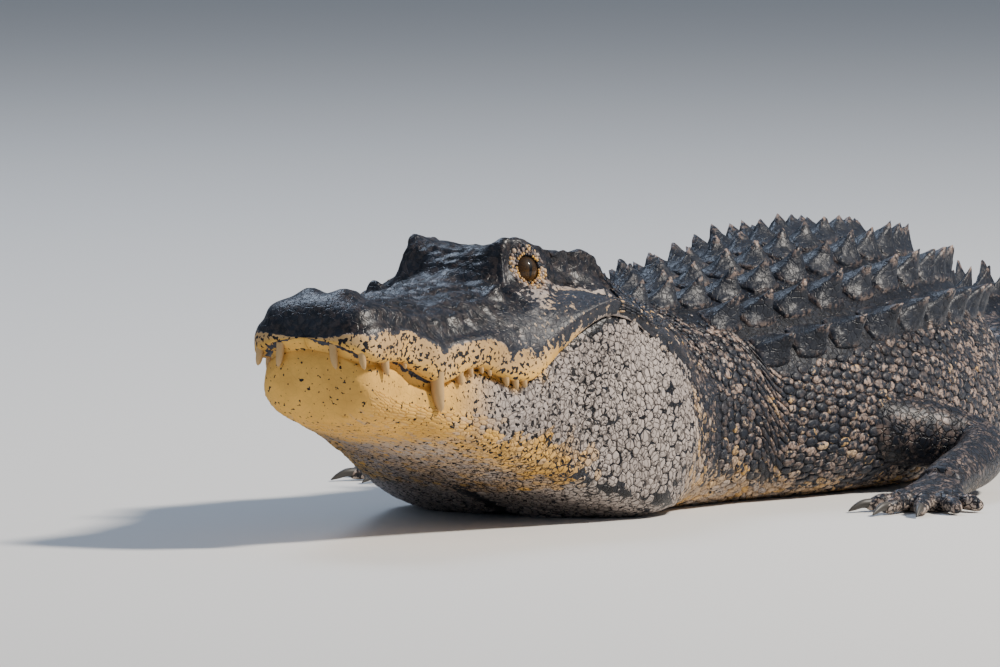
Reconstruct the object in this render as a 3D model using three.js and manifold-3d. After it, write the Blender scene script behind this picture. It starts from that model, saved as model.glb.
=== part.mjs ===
// American alligator lying at rest with its head a little raised, as a still, life-size model.
// The nose points to -X, the animal's left side is -Y and the floor is Z = 0, all in millimetres.
// The origin is the middle of the belly, on the floor.
// Lengths along the body and across it are given in head lengths and scaled by HEAD_LENGTH.
import * as THREE from 'three';
import { mergeVertices } from 'three/addons/utils/BufferGeometryUtils.js';
import Module from 'manifold-3d';

const wasm = await Module();
wasm.setup();

// Driving dimensions
const HEAD_LENGTH = 420;            // mm from the snout tip to the rear edge of the skull table
const GAP = 0.3;                    // mm kept between two parts that touch
const HEAD_PITCH = 7;               // degrees that the snout is raised
const HEAD_REAR = 1.07;             // where the head meets the neck
const NECK_END = 1.53;              // where the neck meets the torso
const TORSO_END = 3.46;             // where the torso meets the tail
const BODY_END = 7.2;               // tip of the tail
const TAIL_CUTS = [TORSO_END, 4.3, 5.2, 6.15, BODY_END];
const BELLY_MIDDLE = 2.4;           // place of the origin, under the middle of the trunk
const RAISE = 0.43;                 // height of the head's own centre line over the floor
const SCUTE_PITCH = 0.108;          // from one transverse row of scutes to the next
const SCUTE_SINK = 0.03;            // depth of a scute's root under the skin
const RING_POINTS = 20;             // points round one section of the trunk
const NECK_STEPS = 5;               // sections along the neck, the torso and each length of the tail
const TORSO_STEPS = 15;
const TAIL_STEPS = 5;
const BELLY_SHAPE = 3.2;            // flatness of the underside
const SEED = 7;

const UP = new THREE.Vector3(0, 0, 1);
const rad = THREE.MathUtils.degToRad;
let randomState = SEED;

// A repeatable random number between -1 and 1.
function vary() {
  randomState = (randomState * 1103515245 + 12345) % 2147483648;
  return (randomState / 2147483648) * 2 - 1;
}

// A smooth value between [place, value] stations, which never overshoots them.
function along(stations, place) {
  const last = stations.length - 1;
  if (place <= stations[0][0]) return stations[0][1];
  if (place >= stations[last][0]) return stations[last][1];
  const rise = (k) => (stations[k + 1][1] - stations[k][1]) / (stations[k + 1][0] - stations[k][0]);
  const slope = (k) => {
    if (k === 0) return rise(0);
    if (k === last) return rise(last - 1);
    const product = rise(k - 1) * rise(k);
    return product <= 0 ? 0 : (2 * product) / (rise(k - 1) + rise(k));
  };
  let i = 0;
  while (place > stations[i + 1][0]) i += 1;
  const span = stations[i + 1][0] - stations[i][0];
  const t = (place - stations[i][0]) / span;
  const t2 = t * t;
  const t3 = t2 * t;
  return (2 * t3 - 3 * t2 + 1) * stations[i][1] + (t3 - 2 * t2 + t) * span * slope(i)
    + (3 * t2 - 2 * t3) * stations[i + 1][1] + (t3 - t2) * span * slope(i + 1);
}

// Solid work: a closed geometry becomes a manifold solid and comes back as a mesh.
function toSolid(geometry) {
  const bare = geometry.clone();
  bare.deleteAttribute('normal');
  bare.deleteAttribute('uv');
  const merged = mergeVertices(bare, 1e-4);
  return new wasm.Manifold(new wasm.Mesh({
    numProp: 3,
    vertProperties: new Float32Array(merged.attributes.position.array),
    triVerts: new Uint32Array(merged.index.array),
  }));
}

function toMesh(name, solid, look) {
  const largest = solid.decompose().reduce((a, b) => (b.volume() > a.volume() ? b : a));
  const data = largest.getMesh();
  const geometry = new THREE.BufferGeometry();
  geometry.setAttribute('position', new THREE.BufferAttribute(new Float32Array(data.vertProperties), 3));
  geometry.setIndex(new THREE.BufferAttribute(new Uint32Array(data.triVerts), 1));
  geometry.computeVertexNormals();
  const mesh = new THREE.Mesh(geometry, new THREE.MeshStandardMaterial(look));
  mesh.name = name;
  return mesh;
}

function joinAll(solids) {
  return solids.reduce((sum, piece) => sum.add(piece));
}

// A closed skin over rings of equal count, with a fan of triangles at each end.
function loft(rings) {
  const count = rings[0].length;
  const points = rings.flat();
  const triangles = [];
  for (let r = 0; r + 1 < rings.length; r += 1) {
    for (let i = 0; i < count; i += 1) {
      const a = r * count + i;
      const b = r * count + ((i + 1) % count);
      triangles.push(a, b, b + count, a, b + count, a + count);
    }
  }
  [0, rings.length - 1].forEach((r) => {
    const centre = rings[r].reduce((sum, p) => sum.clone().add(p)).divideScalar(count);
    points.push(centre);
    for (let i = 0; i < count; i += 1) {
      const a = r * count + i;
      const b = r * count + ((i + 1) % count);
      triangles.push(...(r === 0 ? [points.length - 1, b, a] : [points.length - 1, a, b]));
    }
  });
  const geometry = new THREE.BufferGeometry().setFromPoints(points);
  geometry.setIndex(triangles);
  const solid = toSolid(geometry);
  if (solid.volume() > 0) return solid;
  geometry.setIndex(triangles.reverse());
  return toSolid(geometry);
}

// Where the head sits: back, left and up from the snout tip, in head lengths, to a place in space.
function headPoint(back, left, up) {
  const pitch = rad(HEAD_PITCH);
  const x = (back - 0.5) * Math.cos(pitch) + (up - 0.1) * Math.sin(pitch);
  const z = RAISE + (up - 0.1) * Math.cos(pitch) - (back - 0.5) * Math.sin(pitch);
  return new THREE.Vector3(x, -left, Math.max(z, 0)).multiplyScalar(HEAD_LENGTH);
}

// The course of the body behind the head: heading in degrees, left of straight back is negative.
const HEADING = [[HEAD_REAR, 0], [1.45, -12], [2.05, 6], [2.5, 23], [3.0, 25], [3.4, 19], [4.2, 3],
  [5.2, -20], [6.2, -40], [BODY_END, -56]];
const SPINE_STEP = 0.01;

function traceSpine() {
  const start = headPoint(HEAD_REAR, 0, 0.1).divideScalar(HEAD_LENGTH);
  const places = [[start.x, start.y]];
  for (let s = HEAD_REAR; s < BODY_END + SPINE_STEP; s += SPINE_STEP) {
    const turn = rad(along(HEADING, s + SPINE_STEP / 2));
    const [x, y] = places[places.length - 1];
    places.push([x + SPINE_STEP * Math.cos(turn), y + SPINE_STEP * Math.sin(turn)]);
  }
  return places;
}
const SPINE = traceSpine();

// The plane of a section leans with the head where the neck starts and stands upright behind.
const LEAN = [[HEAD_REAR, HEAD_PITCH], [1.45, 0], [BODY_END, 0]];
const LEAN_HEIGHT = RAISE - (HEAD_REAR - 0.5) * Math.sin(rad(HEAD_PITCH));

function bodyPoint(s, left, height) {
  const at = (s - HEAD_REAR) / SPINE_STEP;
  const i = Math.min(Math.max(Math.floor(at), 0), SPINE.length - 2);
  const f = at - i;
  const turn = rad(along(HEADING, s));
  const lean = (height - LEAN_HEIGHT) * Math.tan(rad(along(LEAN, s)));
  const x = SPINE[i][0] * (1 - f) + SPINE[i + 1][0] * f;
  const y = SPINE[i][1] * (1 - f) + SPINE[i + 1][1] * f;
  return new THREE.Vector3(
    x + left * Math.sin(turn) + lean * Math.cos(turn),
    y - left * Math.cos(turn) + lean * Math.sin(turn),
    Math.max(height, 0),
  ).multiplyScalar(HEAD_LENGTH);
}

// Sizes of the trunk and tail at places along the body
const HALF_WIDTH = [[HEAD_REAR, 0.35], [1.2, 0.33], [1.42, 0.325], [1.7, 0.36], [2.0, 0.395], [2.3, 0.402],
  [2.6, 0.37], [2.85, 0.315], [3.1, 0.28], [3.45, 0.262], [3.75, 0.215], [4.3, 0.165], [5.2, 0.115],
  [6.2, 0.065], [BODY_END, 0.012]];
const TOP = [[HEAD_REAR, 0.46], [1.2, 0.435], [1.42, 0.44], [1.7, 0.478], [2.1, 0.517], [2.45, 0.497],
  [2.8, 0.43], [3.15, 0.35], [3.45, 0.31], [3.8, 0.285], [4.4, 0.25], [5.2, 0.205], [6.2, 0.14],
  [BODY_END, 0.03]];
const WAIST = [[HEAD_REAR, 0.18], [1.4, 0.165], [2.2, 0.12], [3.1, 0.115], [3.5, 0.125], [4.3, 0.115],
  [5.2, 0.09], [6.2, 0.06], [BODY_END, 0.014]];
const BACK_SHAPE = [[HEAD_REAR, 2.3], [1.6, 2.1], [2.4, 1.95], [3.4, 2.1], [BODY_END, 2]];
const BELLY_DIP = 0.012;            // how far the round belly would dip under the floor it lies on

// A point of the skin; turn is 0 at the top, 90 degrees at the left side and 180 underneath.
function skinPoint(s, turn, grow = 0) {
  const width = along(HALF_WIDTH, s) + grow;
  const waist = along(WAIST, s);
  const across = Math.sin(turn);
  const upright = Math.cos(turn);
  const shape = upright > 0 ? along(BACK_SHAPE, s) : BELLY_SHAPE;
  const reach = upright > 0 ? along(TOP, s) + grow - waist : waist + BELLY_DIP;
  const left = width * Math.sign(across) * Math.abs(across) ** (2 / shape);
  const height = waist + reach * Math.sign(upright) * Math.abs(upright) ** (2 / shape);
  return bodyPoint(s, left, height);
}

function trunk(from, to, steps, grow = 0) {
  const rings = [];
  for (let r = 0; r <= steps; r += 1) {
    const s = from + ((to - from) * r) / steps;
    const ring = [];
    for (let i = 0; i < RING_POINTS; i += 1) ring.push(skinPoint(s, (i / RING_POINTS) * Math.PI * 2, grow));
    rings.push(ring);
  }
  return loft(rings);
}

// The turn at which the skin lies this far round from the middle of the back.
function turnAt(s, distance) {
  const step = rad(1);
  let turn = 0;
  let travelled = 0;
  let before = skinPoint(s, 0);
  while (travelled < Math.abs(distance) * HEAD_LENGTH && turn < Math.PI / 2) {
    turn += step;
    const here = skinPoint(s, turn);
    travelled += here.distanceTo(before);
    before = here;
  }
  return turn * Math.sign(distance);
}

// The frame of the skin at a place: x runs back along the body, z stands out of the skin.
function skinFrame(s, turn) {
  const nudge = 0.01;
  const centre = skinPoint(s, turn);
  const back = skinPoint(s + nudge, turn).sub(skinPoint(s - nudge, turn)).normalize();
  const round = skinPoint(s, turn + nudge).sub(skinPoint(s, turn - nudge));
  const out = new THREE.Vector3().crossVectors(round, back).normalize();
  const side = new THREE.Vector3().crossVectors(out, back).normalize();
  return new THREE.Matrix4().makeBasis(back, side, out).setPosition(centre);
}

// A bony plate with six sides and a keel that climbs to a peak near its rear edge.
function scute(frame, length, width, keel, edge) {
  const outline = [[-0.44, -0.4], [0, -0.5], [0.42, -0.42], [0.42, 0.42], [0, 0.5], [-0.44, 0.4]];
  const bottom = outline.map(([x, y]) => [x * length, y * width, -SCUTE_SINK]);
  const rim = outline.map(([x, y]) => [x * length, y * width, edge]);
  const points = [...bottom, ...rim, [-0.3 * length, 0, edge + keel * 0.3], [0.3 * length, 0, edge + keel]];
  const front = 12;
  const peak = 13;
  const triangles = [0, 5, 4, 0, 4, 3, 0, 3, 2, 0, 2, 1];
  for (let i = 0; i < 6; i += 1) {
    const j = (i + 1) % 6;
    triangles.push(i, j, j + 6, i, j + 6, i + 6);
  }
  triangles.push(6, 7, front, 7, peak, front, 7, 8, peak, 8, 9, peak, 9, 10, peak, 10, front, peak);
  triangles.push(10, 11, front, 11, 6, front);
  const geometry = new THREE.BufferGeometry().setFromPoints(
    points.map(([x, y, z]) => new THREE.Vector3(x, y, z).multiplyScalar(HEAD_LENGTH).applyMatrix4(frame)),
  );
  geometry.setIndex(triangles);
  const solid = toSolid(geometry);
  if (solid.volume() > 0) return solid;
  geometry.setIndex(triangles.reverse());
  return toSolid(geometry);
}

// Columns of scutes on the back: distance round from the middle, first and last place, keel height.
const COLUMNS = [
  { round: 0.048, from: 1.2, to: 3.42, keel: 0.04 },
  { round: 0.148, from: 1.2, to: 3.42, keel: 0.05 },
  { round: 0.248, from: 1.42, to: 3.2, keel: 0.056 },
  { round: 0.355, from: 1.5, to: 2.88, keel: 0.056 },
];
const SCUTE_LENGTH = 0.096;
const SCUTE_WIDTH = 0.088;
const SCUTE_EDGE = 0.006;
const SCUTE_NARROW = [[1.2, 0.85], [2.2, 1], [3.0, 0.9], [3.5, 0.72]];
const SCUTE_TALL = [[1.2, 1.1], [2.4, 1], [3.4, 0.7]];
const SCUTE_CLEAR = 0.06;           // kept free of scutes at each side of a cut

function backScutes(from, to) {
  const pieces = [];
  COLUMNS.forEach((column) => {
    for (let s = column.from; s <= column.to; s += SCUTE_PITCH) {
      if (s > from + SCUTE_CLEAR && s < to - SCUTE_CLEAR * 0.8) {
        [-1, 1].forEach((side) => {
          const narrow = along(SCUTE_NARROW, s);
          const turn = turnAt(s, side * column.round * narrow);
          const keel = column.keel * (1 + 0.15 * vary()) * along(SCUTE_TALL, s);
          const width = SCUTE_WIDTH * narrow * (1 + 0.06 * vary());
          pieces.push(scute(skinFrame(s, turn), SCUTE_LENGTH, width, keel, SCUTE_EDGE));
        });
      }
    }
  });
  return pieces;
}

// The tail's crest: two rows of upright plates that lean out, then one row from the middle of the tail on.
const CREST_MERGE = 5.25;
const CREST_PITCH = 0.112;
const CREST_HEIGHT = [[3.5, 0.03], [4.0, 0.055], [5.0, 0.085], [6.2, 0.075], [7.1, 0.03]];

function crestPlate(s, turn, tall) {
  const frame = skinFrame(s, turn);
  return scute(frame, CREST_PITCH * 0.95, Math.min(0.05, along(HALF_WIDTH, s) * 0.9), tall, 0.002);
}

function tailCrest(from, to) {
  const pieces = [];
  for (let s = TORSO_END + CREST_PITCH * 0.7; s < BODY_END - 0.1; s += CREST_PITCH) {
    if (s > from + SCUTE_CLEAR && s < to - SCUTE_CLEAR * 0.8) {
      const tall = along(CREST_HEIGHT, s) * (1 + 0.08 * vary());
      const spread = s < CREST_MERGE ? along([[3.5, 0.075], [CREST_MERGE, 0.03]], s) : 0;
      if (spread === 0) pieces.push(crestPlate(s, 0, tall));
      else [-1, 1].forEach((side) => pieces.push(crestPlate(s, turnAt(s, side * spread), tall)));
    }
  }
  return pieces;
}

// A limb, toe or claw: oval rings along a path, flat where it lies on the floor.
function limb(stops, sides) {
  const path = new THREE.CatmullRomCurve3(stops.map((stop) => stop.at));
  const rings = stops.map((stop, r) => {
    const ahead = path.getTangent(r / (stops.length - 1));
    const across = new THREE.Vector3().crossVectors(ahead, UP).normalize();
    const over = new THREE.Vector3().crossVectors(across, ahead).normalize();
    const ring = [];
    for (let i = 0; i < sides; i += 1) {
      const a = (i / sides) * Math.PI * 2;
      const point = stop.at.clone()
        .addScaledVector(across, Math.cos(a) * stop.wide * HEAD_LENGTH)
        .addScaledVector(over, Math.sin(a) * stop.tall * HEAD_LENGTH);
      point.z = Math.max(point.z, 0);
      ring.push(point);
    }
    return ring;
  });
  return loft(rings);
}

// Legs: each stop is [place along the body, distance out, height, half-width, half-height].
const FORELEG = [[1.72, 0.16, 0.16, 0.08, 0.09], [1.78, 0.31, 0.14, 0.08, 0.08],
  [1.88, 0.42, 0.115, 0.07, 0.07], [1.9, 0.49, 0.095, 0.06, 0.06], [1.82, 0.55, 0.075, 0.053, 0.055],
  [1.69, 0.595, 0.055, 0.05, 0.046], [1.63, 0.615, 0.042, 0.052, 0.038]];
const HINDLEG = [[3.32, 0.1, 0.15, 0.12, 0.115], [3.26, 0.26, 0.165, 0.13, 0.112],
  [3.12, 0.4, 0.15, 0.11, 0.1], [3.02, 0.5, 0.125, 0.085, 0.085], [3.08, 0.58, 0.1, 0.075, 0.078],
  [3.22, 0.62, 0.07, 0.062, 0.06], [3.34, 0.64, 0.05, 0.058, 0.045]];
const LEG_SIDES = 10;

function leg(stops, side) {
  const rings = stops.map(([s, out, height, wide, tall]) => (
    { at: bodyPoint(s, side * out, height), wide, tall }
  ));
  return limb(rings, LEG_SIDES);
}

// Feet: toes fan out from the palm, and the inner three of each foot bear claws.
const FOREFOOT = { palm: 0.15, wide: 0.075, heading: 24, fan: [-46, -20, 4, 30, 58],
  toes: [0.1, 0.13, 0.14, 0.115, 0.085], thick: 0.021 };
const HINDFOOT = { palm: 0.25, wide: 0.085, heading: 30, fan: [-22, -6, 11, 30],
  toes: [0.15, 0.19, 0.19, 0.155], thick: 0.025 };
const CLAWED_TOES = 3;
const TOE_SIDES = 6;
const CLAW_SIDES = 5;

// Points on the floor plan of a foot: its root, and a direction turned out from the nose.
function footPlan(plan, stops, side) {
  const [s, out] = stops[stops.length - 1];
  const ahead = (degrees) => {
    const turn = rad(along(HEADING, s)) + Math.PI + side * rad(degrees);
    return new THREE.Vector3(Math.cos(turn), Math.sin(turn), 0);
  };
  const at = (from, direction, distance, height) => from.clone()
    .addScaledVector(direction, distance * HEAD_LENGTH).setZ(height * HEAD_LENGTH);
  return { root: bodyPoint(s, side * out, 0), way: ahead(plan.heading), ahead, at };
}

function palm(plan, stops, side, grow = 0) {
  const { root, way, at } = footPlan(plan, stops, side);
  return limb([
    { at: at(root, way, -grow, 0.035), wide: 0.05 + grow, tall: 0.034 + grow },
    { at: at(root, way, plan.palm * 0.35, 0.03), wide: plan.wide * 0.85 + grow, tall: 0.032 + grow },
    { at: at(root, way, plan.palm * 0.8, 0.022), wide: plan.wide + grow, tall: 0.026 + grow },
    { at: at(root, way, plan.palm * 1.1, 0.016), wide: plan.wide * 0.9 + grow, tall: 0.019 + grow },
    { at: at(root, way, plan.palm * 1.25, 0.012), wide: plan.wide * 0.6 + grow, tall: 0.012 + grow },
  ], LEG_SIDES);
}

function foot(plan, stops, side) {
  const { root, way, ahead, at } = footPlan(plan, stops, side);
  const base = at(root, way, plan.palm * 0.62, 0);
  const pieces = [palm(plan, stops, side)];
  plan.fan.forEach((fan, i) => {
    const direction = ahead(plan.heading + fan);
    const reach = plan.palm * 0.4 + plan.toes[i];
    const thick = plan.thick;
    pieces.push(limb([
      { at: at(base, direction, 0, 0.02), wide: thick, tall: thick },
      { at: at(base, direction, reach * 0.45, 0.026), wide: thick, tall: thick },
      { at: at(base, direction, reach * 0.75, 0.02), wide: thick * 0.9, tall: thick * 0.85 },
      { at: at(base, direction, reach, 0.014), wide: thick * 0.6, tall: thick * 0.6 },
    ], TOE_SIDES));
    if (i < CLAWED_TOES) {
      pieces.push(limb([
        { at: at(base, direction, reach - 0.02, 0.018), wide: 0.009, tall: 0.011 },
        { at: at(base, direction, reach + 0.015, 0.016), wide: 0.008, tall: 0.009 },
        { at: at(base, direction, reach + 0.045, 0.004), wide: 0.0015, tall: 0.0015 },
      ], CLAW_SIDES));
    }
  });
  return joinAll(pieces);
}

// Head sizes along its length: half-width and height of each line that runs from the nose to the neck
const HEAD_STATIONS = [0.002, 0.022, 0.045, 0.08, 0.12, 0.165, 0.21, 0.265, 0.33, 0.405, 0.46, 0.525, 0.58,
  0.602, 0.62, 0.645, 0.69, 0.745, 0.8, 0.87, 0.93, 0.985, 1.02, HEAD_REAR];
const LIP_WIDTH = [[0, 0.14], [0.12, 0.143], [0.165, 0.144], [0.265, 0.18], [0.33, 0.188], [0.405, 0.2],
  [0.525, 0.234], [0.6, 0.25], [0.7, 0.27], [0.8, 0.29], [0.93, 0.308], [1.2, 0.335]];
const LIP_HEIGHT = [[0, 0.002], [0.06, -0.008], [0.165, -0.001], [0.215, -0.018], [0.265, -0.037],
  [0.31, -0.025], [0.36, -0.003], [0.405, 0.004], [0.46, -0.01], [0.5, -0.017], [0.54, -0.015],
  [0.575, 0.003], [0.63, 0.047], [0.7, 0.095], [0.8, 0.137], [0.87, 0.128], [0.93, 0.104], [1.2, 0.04]];
const LIP_BAND = [[0, 0.03], [0.1, 0.045], [0.265, 0.052], [0.5, 0.055], [0.7, 0.04], [0.93, 0.02],
  [1.2, 0.02]];
const MIDLINE = [[0, 0.122], [0.05, 0.128], [0.16, 0.124], [0.25, 0.126], [0.33, 0.132], [0.42, 0.148],
  [0.5, 0.17], [0.56, 0.19], [0.61, 0.228], [0.65, 0.256], [0.72, 0.264], [0.85, 0.262], [0.95, 0.264],
  [0.99, 0.25], [1.07, 0.205], [1.2, 0.165]];
const CROWN_WIDTH = [[0, 0.085], [0.1, 0.09], [0.3, 0.095], [0.5, 0.106], [0.62, 0.108], [0.68, 0.11],
  [0.8, 0.125], [0.9, 0.135], [0.97, 0.142], [1.07, 0.17], [1.2, 0.19]];
const CROWN_HEIGHT = [[0, 0.112], [0.1, 0.115], [0.2, 0.11], [0.33, 0.118], [0.42, 0.138], [0.5, 0.157],
  [0.56, 0.168], [0.598, 0.192], [0.62, 0.256], [0.645, 0.279], [0.69, 0.281], [0.75, 0.276], [0.8, 0.268],
  [0.88, 0.272], [0.94, 0.27], [0.98, 0.25], [1.07, 0.195], [1.2, 0.155]];
const SHOULDER_WIDTH = [[0, 0.108], [0.1, 0.118], [0.265, 0.136], [0.4, 0.148], [0.5, 0.152], [0.59, 0.148],
  [0.622, 0.13], [0.645, 0.122], [0.685, 0.143], [0.74, 0.138], [0.8, 0.132], [0.94, 0.145], [1.07, 0.21],
  [1.2, 0.24]];
const SHOULDER_HEIGHT = [[0, 0.098], [0.1, 0.102], [0.265, 0.092], [0.4, 0.118], [0.5, 0.138],
  [0.58, 0.162], [0.608, 0.184], [0.632, 0.214], [0.65, 0.248], [0.678, 0.259], [0.72, 0.245],
  [0.78, 0.236], [0.94, 0.232], [1.07, 0.175], [1.2, 0.13]];
const CHEEK_WIDTH = [[0, 0.12], [0.1, 0.13], [0.265, 0.158], [0.4, 0.18], [0.5, 0.196], [0.6, 0.208],
  [0.68, 0.198], [0.78, 0.172], [0.88, 0.176], [0.96, 0.21], [1.07, 0.28], [1.2, 0.29]];
const CHEEK_HEIGHT = [[0, 0.072], [0.1, 0.078], [0.265, 0.058], [0.4, 0.075], [0.5, 0.098], [0.6, 0.135],
  [0.68, 0.168], [0.8, 0.188], [0.9, 0.188], [1.0, 0.175], [1.07, 0.15], [1.2, 0.1]];
const LIP_UNDERCUT = 0.009;         // how far the lower edge of the lip turns in
const LIP_ROUND = 0.008;            // height of the lip's rounded edge
const TIP_HEIGHT = 0.035;           // height of the foremost point of the snout

// A quarter of a squarish circle: 0 at the tip and 1 from reach on.
function tipRound(s, reach, power) {
  const t = Math.min(Math.max(s / reach, 0), 1);
  return (1 - (1 - t) ** power) ** (1 / power);
}

// Half-width and height scaled down towards the blunt tip of the snout
function upperTip(s, [w, z]) {
  return [w * tipRound(s, 0.095, 3.4), TIP_HEIGHT + (z - TIP_HEIGHT) * tipRound(s, 0.09, 2.25)];
}

function headRing(s) {
  const lip = [along(LIP_WIDTH, s), along(LIP_HEIGHT, s)];
  const lipTop = [lip[0] + 0.004, lip[1] + along(LIP_BAND, s)];
  const cheek = [along(CHEEK_WIDTH, s), along(CHEEK_HEIGHT, s)];
  const shoulder = [along(SHOULDER_WIDTH, s), along(SHOULDER_HEIGHT, s)];
  const crown = [along(CROWN_WIDTH, s), along(CROWN_HEIGHT, s)];
  const middle = along(MIDLINE, s);
  const half = [[crown[0] * 0.5, middle + (crown[1] - middle) * 0.35], crown, shoulder, cheek,
    [(cheek[0] + lipTop[0]) / 2 + 0.004, (cheek[1] + lipTop[1]) / 2 + 0.004], lipTop,
    [lip[0] + 0.001, lip[1] + LIP_ROUND], [lip[0] - LIP_UNDERCUT, lip[1]], [lip[0] * 0.6, lip[1]]];
  const ring = [[0, middle], ...half, [0, lip[1]], ...half.map(([w, z]) => [-w, z]).reverse()];
  return ring.map((point) => headPoint(s, ...upperTip(s, point)));
}

// A lump of the head such as the dome round a nostril: an oval body at a place of the head
function lump(back, left, up, radii, detail = 12) {
  const ball = new THREE.SphereGeometry(HEAD_LENGTH, detail, Math.round(detail * 0.6));
  ball.scale(...radii);
  ball.rotateY(rad(HEAD_PITCH));
  ball.translate(...headPoint(back, left, up).toArray());
  return toSolid(ball);
}

// Eyes and lids; each eye looks forward of straight out, and a little up.
const EYE = { back: 0.6913, left: 0.1211, up: 0.2173, radius: 0.034 };
const EYE_OPEN = { back: 0.682, left: 0.141, up: 0.222 };
const EYE_WAY = { back: -0.413, left: 0.886, up: 0.208 };
const LID = { radius: 0.0305, thick: 0.0075 };

function eyeWay(side) {
  const start = headPoint(0, 0, 0.5);
  return headPoint(EYE_WAY.back, side * EYE_WAY.left, 0.5 + EYE_WAY.up).sub(start).normalize();
}

// The hollow round an eye: a funnel that opens outwards from the lids.
const HOLLOW = { inner: 0.03, outer: 0.062, deep: 0.055, sink: 0.003 };

function eyeHollow(side) {
  const funnel = new THREE.CylinderGeometry(HOLLOW.outer, HOLLOW.inner, HOLLOW.deep, 12);
  funnel.translate(0, HOLLOW.deep / 2 - HOLLOW.sink, 0);
  funnel.scale(HEAD_LENGTH, HEAD_LENGTH, HEAD_LENGTH);
  funnel.applyQuaternion(new THREE.Quaternion().setFromUnitVectors(new THREE.Vector3(0, 1, 0), eyeWay(side)));
  funnel.translate(...headPoint(EYE_OPEN.back, side * EYE_OPEN.left, EYE_OPEN.up).toArray());
  return toSolid(funnel);
}

function lidRing(side) {
  const ring = new THREE.TorusGeometry(LID.radius * HEAD_LENGTH, LID.thick * HEAD_LENGTH, 5, 12);
  ring.applyQuaternion(new THREE.Quaternion().setFromUnitVectors(UP, eyeWay(side)));
  ring.translate(...headPoint(EYE_OPEN.back, side * EYE_OPEN.left, EYE_OPEN.up).toArray());
  return toSolid(ring);
}

// Teeth of the upper jaw that show outside the lower lip: place, length, root size and share of the width
const TEETH = [[0.012, 0.026, 0.009, 0.65], [0.03, 0.02, 0.009], [0.1, 0.026, 0.01], [0.175, 0.012, 0.007],
  [0.262, 0.058, 0.0155], [0.335, 0.024, 0.0105], [0.37, 0.018, 0.0085], [0.405, 0.013, 0.0075],
  [0.43, 0.012, 0.007], [0.478, 0.016, 0.009], [0.505, 0.017, 0.0095], [0.53, 0.014, 0.009]];
const TOOTH_SIDES = 5;
const TOOTH_INSET = 0.012;
const TOOTH_ROOT = 0.024;           // length of a tooth inside the lip

function tooth([s, length, root, share = 1], side, grow = 0) {
  const tall = (length + TOOTH_ROOT) * HEAD_LENGTH + grow;
  const geometry = new THREE.ConeGeometry(root * HEAD_LENGTH + grow, tall, TOOTH_SIDES);
  geometry.rotateX(rad(-90));
  geometry.translate(0, 0, TOOTH_ROOT * HEAD_LENGTH - tall / 2);
  geometry.rotateX(side * rad(-4));
  const [lipWide, lipHigh] = upperTip(s, [along(LIP_WIDTH, s), along(LIP_HEIGHT, s)]);
  const at = headPoint(s, side * (lipWide - TOOTH_INSET) * share, lipHigh);
  geometry.translate(...at.toArray());
  return toSolid(geometry);
}

// Lower jaw sizes: it lies inside the upper lip in front and flush with the cheek at the rear
const JAW_START = 0.02;
const JAW_WIDTH = [[0, 0.124], [0.165, 0.127], [0.265, 0.16], [0.405, 0.184], [0.525, 0.216], [0.63, 0.24],
  [0.7, 0.262], [0.8, 0.286], [0.93, 0.306], [1.2, 0.335]];
const JAW_SIDE_WIDTH = [[0, 0.126], [0.165, 0.131], [0.265, 0.163], [0.405, 0.19], [0.525, 0.221],
  [0.7, 0.272], [0.8, 0.3], [0.9, 0.33], [1, 0.354], [1.07, 0.357], [1.2, 0.34]];
const JAW_SIDE_HEIGHT = [[0, -0.03], [0.265, -0.075], [0.5, -0.08], [0.7, -0.06], [0.9, -0.05],
  [1.2, -0.07]];
const JAW_EDGE = [[0, -0.085], [0.08, -0.1], [0.3, -0.13], [0.6, -0.178], [0.9, -0.23], [1.2, -0.25]];
const JAW_BOTTOM = [[0, -0.1], [0.06, -0.125], [0.12, -0.14], [0.3, -0.158], [0.6, -0.212], [0.85, -0.262],
  [1, -0.3], [1.2, -0.32]];
const LIP_GAP = [[0, 0.002], [0.12, 0.002], [0.17, 0.012], [0.21, 0.02], [0.25, 0.008], [0.3, 0.001],
  [1.2, 0.001]];

function jawRing(s) {
  const lipHigh = upperTip(s, [0, along(LIP_HEIGHT, s)])[1];
  const wide = tipRound(s - JAW_START, 0.1, 3);
  const tall = tipRound(s - JAW_START, 0.07, 2);
  const drop = (height) => (height - lipHigh) * tall;
  const open = Math.max(along(LIP_GAP, s), GAP / HEAD_LENGTH);
  const top = -open;
  const lip = [along(JAW_WIDTH, s), top - 0.014 * tall];
  const side = [along(JAW_SIDE_WIDTH, s), Math.min(drop(along(JAW_SIDE_HEIGHT, s)), lip[1] - 0.012 * tall)];
  const edge = [side[0] * 0.9, drop(along(JAW_EDGE, s))];
  const bottom = drop(along(JAW_BOTTOM, s));
  const half = [[lip[0] * 0.6, top], [lip[0] - 0.01, top], lip, side,
    [(side[0] + edge[0]) / 2 + 0.008, (side[1] + edge[1]) / 2], edge,
    [edge[0] * 0.72, edge[1] + (bottom - edge[1]) * 0.62],
    [edge[0] * 0.36, edge[1] + (bottom - edge[1]) * 0.93]];
  const ring = [[0, top], ...half, [0, bottom], ...half.map(([w, z]) => [-w, z]).reverse()];
  return ring.map(([w, z]) => headPoint(s, w * wide, lipHigh + z));
}

function buildJaw() {
  const room = [-1, 1].flatMap((side) => TEETH.map((size) => tooth(size, side, 2 * GAP)));
  const whole = loft(HEAD_STATIONS.filter((s) => s > JAW_START).map(jawRing));
  return room.reduce((jaw, piece) => jaw.subtract(piece), whole);
}

// Nostril domes near the snout tip, each with an opening on top
const NOSTRIL = { back: 0.1, left: 0.042, up: 0.118 };

function nostrilDome(side) {
  return lump(NOSTRIL.back, side * NOSTRIL.left, NOSTRIL.up, [0.05, 0.034, 0.026], 8);
}

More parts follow.
